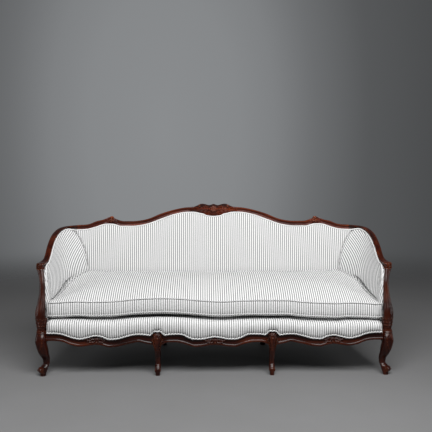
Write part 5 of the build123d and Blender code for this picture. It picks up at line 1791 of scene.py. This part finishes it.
# ---- Studio ----
@dataclass
class Studio:
    """Camera, lamps, floor and backdrop of a plain grey studio."""

    place: Triple = (-0.0628, -4.525, 1.2996)
    lens: float = 61.525
    pitch: float = 5.060
    yaw: float = 0.939
    floor_grey: float = 0.209
    pool: float = 0.44
    ambient: float = 0.088
    overhead: float = 234.0
    strip: float = 13.0
    backdrop: Rows = (
        (0.0, 0.255), (0.05, 0.238), (0.075, 0.208), (0.10, 0.150), (0.135, 0.094), (0.18, 0.070), (0.45, 0.075),
        (0.75, 0.12),
    )

    def camera(self) -> None:
        """Sets the camera where the photograph was taken from."""
        data = bpy.data.cameras.new("photograph")
        data.lens = self.lens
        data.sensor_width = 36.0
        made = bpy.data.objects.new("photograph", data)
        made.location = self.place
        made.rotation_euler = (math.radians(90 - self.pitch), 0.0, -math.radians(self.yaw))
        bpy.context.scene.collection.objects.link(made)
        bpy.context.scene.camera = made

    @staticmethod
    def lamp(name: str, place: Sequence[float], aim: Sequence[float], size: Sequence[float], power: float) -> None:
        """A soft rectangular lamp pointed at a place."""
        data = bpy.data.lights.new(name, "AREA")
        data.shape = "RECTANGLE"
        data.size, data.size_y = size
        data.energy = power
        made = bpy.data.objects.new(name, data)
        made.location = place
        made.rotation_euler = (Vector(aim) - Vector(place)).to_track_quat("-Z", "Y").to_euler()
        bpy.context.scene.collection.objects.link(made)

    def floor(self) -> None:
        """Lays a matt floor that fades into the backdrop far from the sofa; its colour darkens away from a spot before
        the sofa as a painted falloff of the lamps' light.
        """
        mesh = bmesh.new()
        bmesh.ops.create_grid(mesh, x_segments=2, y_segments=2, size=12.0)
        data = bpy.data.meshes.new("studio_floor")
        mesh.to_mesh(data)
        mesh.free()
        made = bpy.data.objects.new("studio_floor", data)
        bpy.context.scene.collection.objects.link(made)
        recipe = Recipe("studio_floor")
        x, y, _ = recipe.split(recipe.coordinates())
        fade = (x * x + y * y).root().ramp(2.2, 5.5, 1.0, 0.0)
        # Painted light: the floor's colour darkens away from a spot before the sofa, a painted falloff of the lamps'
        # light.
        x, y = x + 0.25, y + 1.0
        pool = (x * x + y * y).root().ramp(0.8, 2.4, 0.0, self.pool)
        grain = recipe.grain(recipe.coordinates(), 0.4, 3.0)
        grey = self.floor_grey
        colour = recipe.blend(grain, (grey * 0.94,) * 3, (grey * 1.05, grey * 1.05, grey * 1.07))
        colour = recipe.blend(pool, colour, (grey * 0.35,) * 3)
        data.materials.append(recipe.finish(Base_Color=colour, Roughness=0.75, Alpha=fade))

    def world(self) -> None:
        """Sets a backdrop for the camera and gloss that is painted with the light's falloff, brightest ahead and darker
        outwards and below the horizon, and a dim even light for everything else.
        """
        world = bpy.data.worlds.new("studio")
        bpy.context.scene.world = world
        recipe = Backdrop(world)
        x, y, z = recipe.split(recipe.source("ShaderNodeTexCoord", "Generated"))
        away, behind, above = x + 0.053, y - 1.0, (z - 0.03) * 0.55
        gap = (away * away + behind * behind + above * above).root()
        stops = [(place, (grey, grey * 1.035, grey * 1.07)) for place, grey in self.backdrop]
        # Painted shade: the backdrop darkens below the horizon.
        low = z.ramp(-0.20, -0.12, 0.50, 1.0)
        colour = recipe.blend(1.0, recipe.colours(gap * 0.5, stops), recipe.grey(low), "MULTIPLY")
        camera, gloss = (recipe.source("ShaderNodeLightPath", f"Is {kind} Ray") for kind in ("Camera", "Glossy"))
        even = recipe.add("ShaderNodeBackground", None, (1.0, 1.0, 1.0, 1.0), self.ambient)
        shown = recipe.add("ShaderNodeBackground", None, colour, 1.0)
        recipe.show(camera.larger(gloss), even, shown)

    def build(self) -> None:
        """Sets up the studio."""
        bpy.context.scene.view_settings.view_transform = "Standard"
        self.camera()
        self.lamp("overhead", (0.35, -2.8, 3.8), (0, 0, 0.5), (3.6, 2.1), self.overhead)
        for name, side in SIDES.items():
            self.lamp(f"{name}_strip", (side * 3.1, -1.3, 1.2), (side * 0.9, -0.3, 0.45), (0.28, 1.7), self.strip)
        self.floor()
        self.world()


def main() -> None:
    """Builds the sofa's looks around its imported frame."""
    logging.basicConfig(level=logging.INFO, format="%(message)s")
    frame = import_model()
    Studio().build()
    palette = Palette()
    dress_frame(frame["nodes"], palette)
    cloth = Upholstery()
    rails = FrontRails(palette)
    platform = Platform(palette, cloth, rails)
    for assembly in (
        CrestRail(palette), ArmShowWood(palette), FrontLegs(palette), rails, InsideBack(palette, cloth),
        InsideArms(palette, cloth), platform, Cushion(palette, cloth), Welts(palette, platform),
        OutsideCovers(palette), HiddenCloths(palette),
    ):
        LOG.info("building %s", type(assembly).__name__)
        assembly.build()
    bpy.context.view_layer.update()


if __name__ == "__main__":
    main()
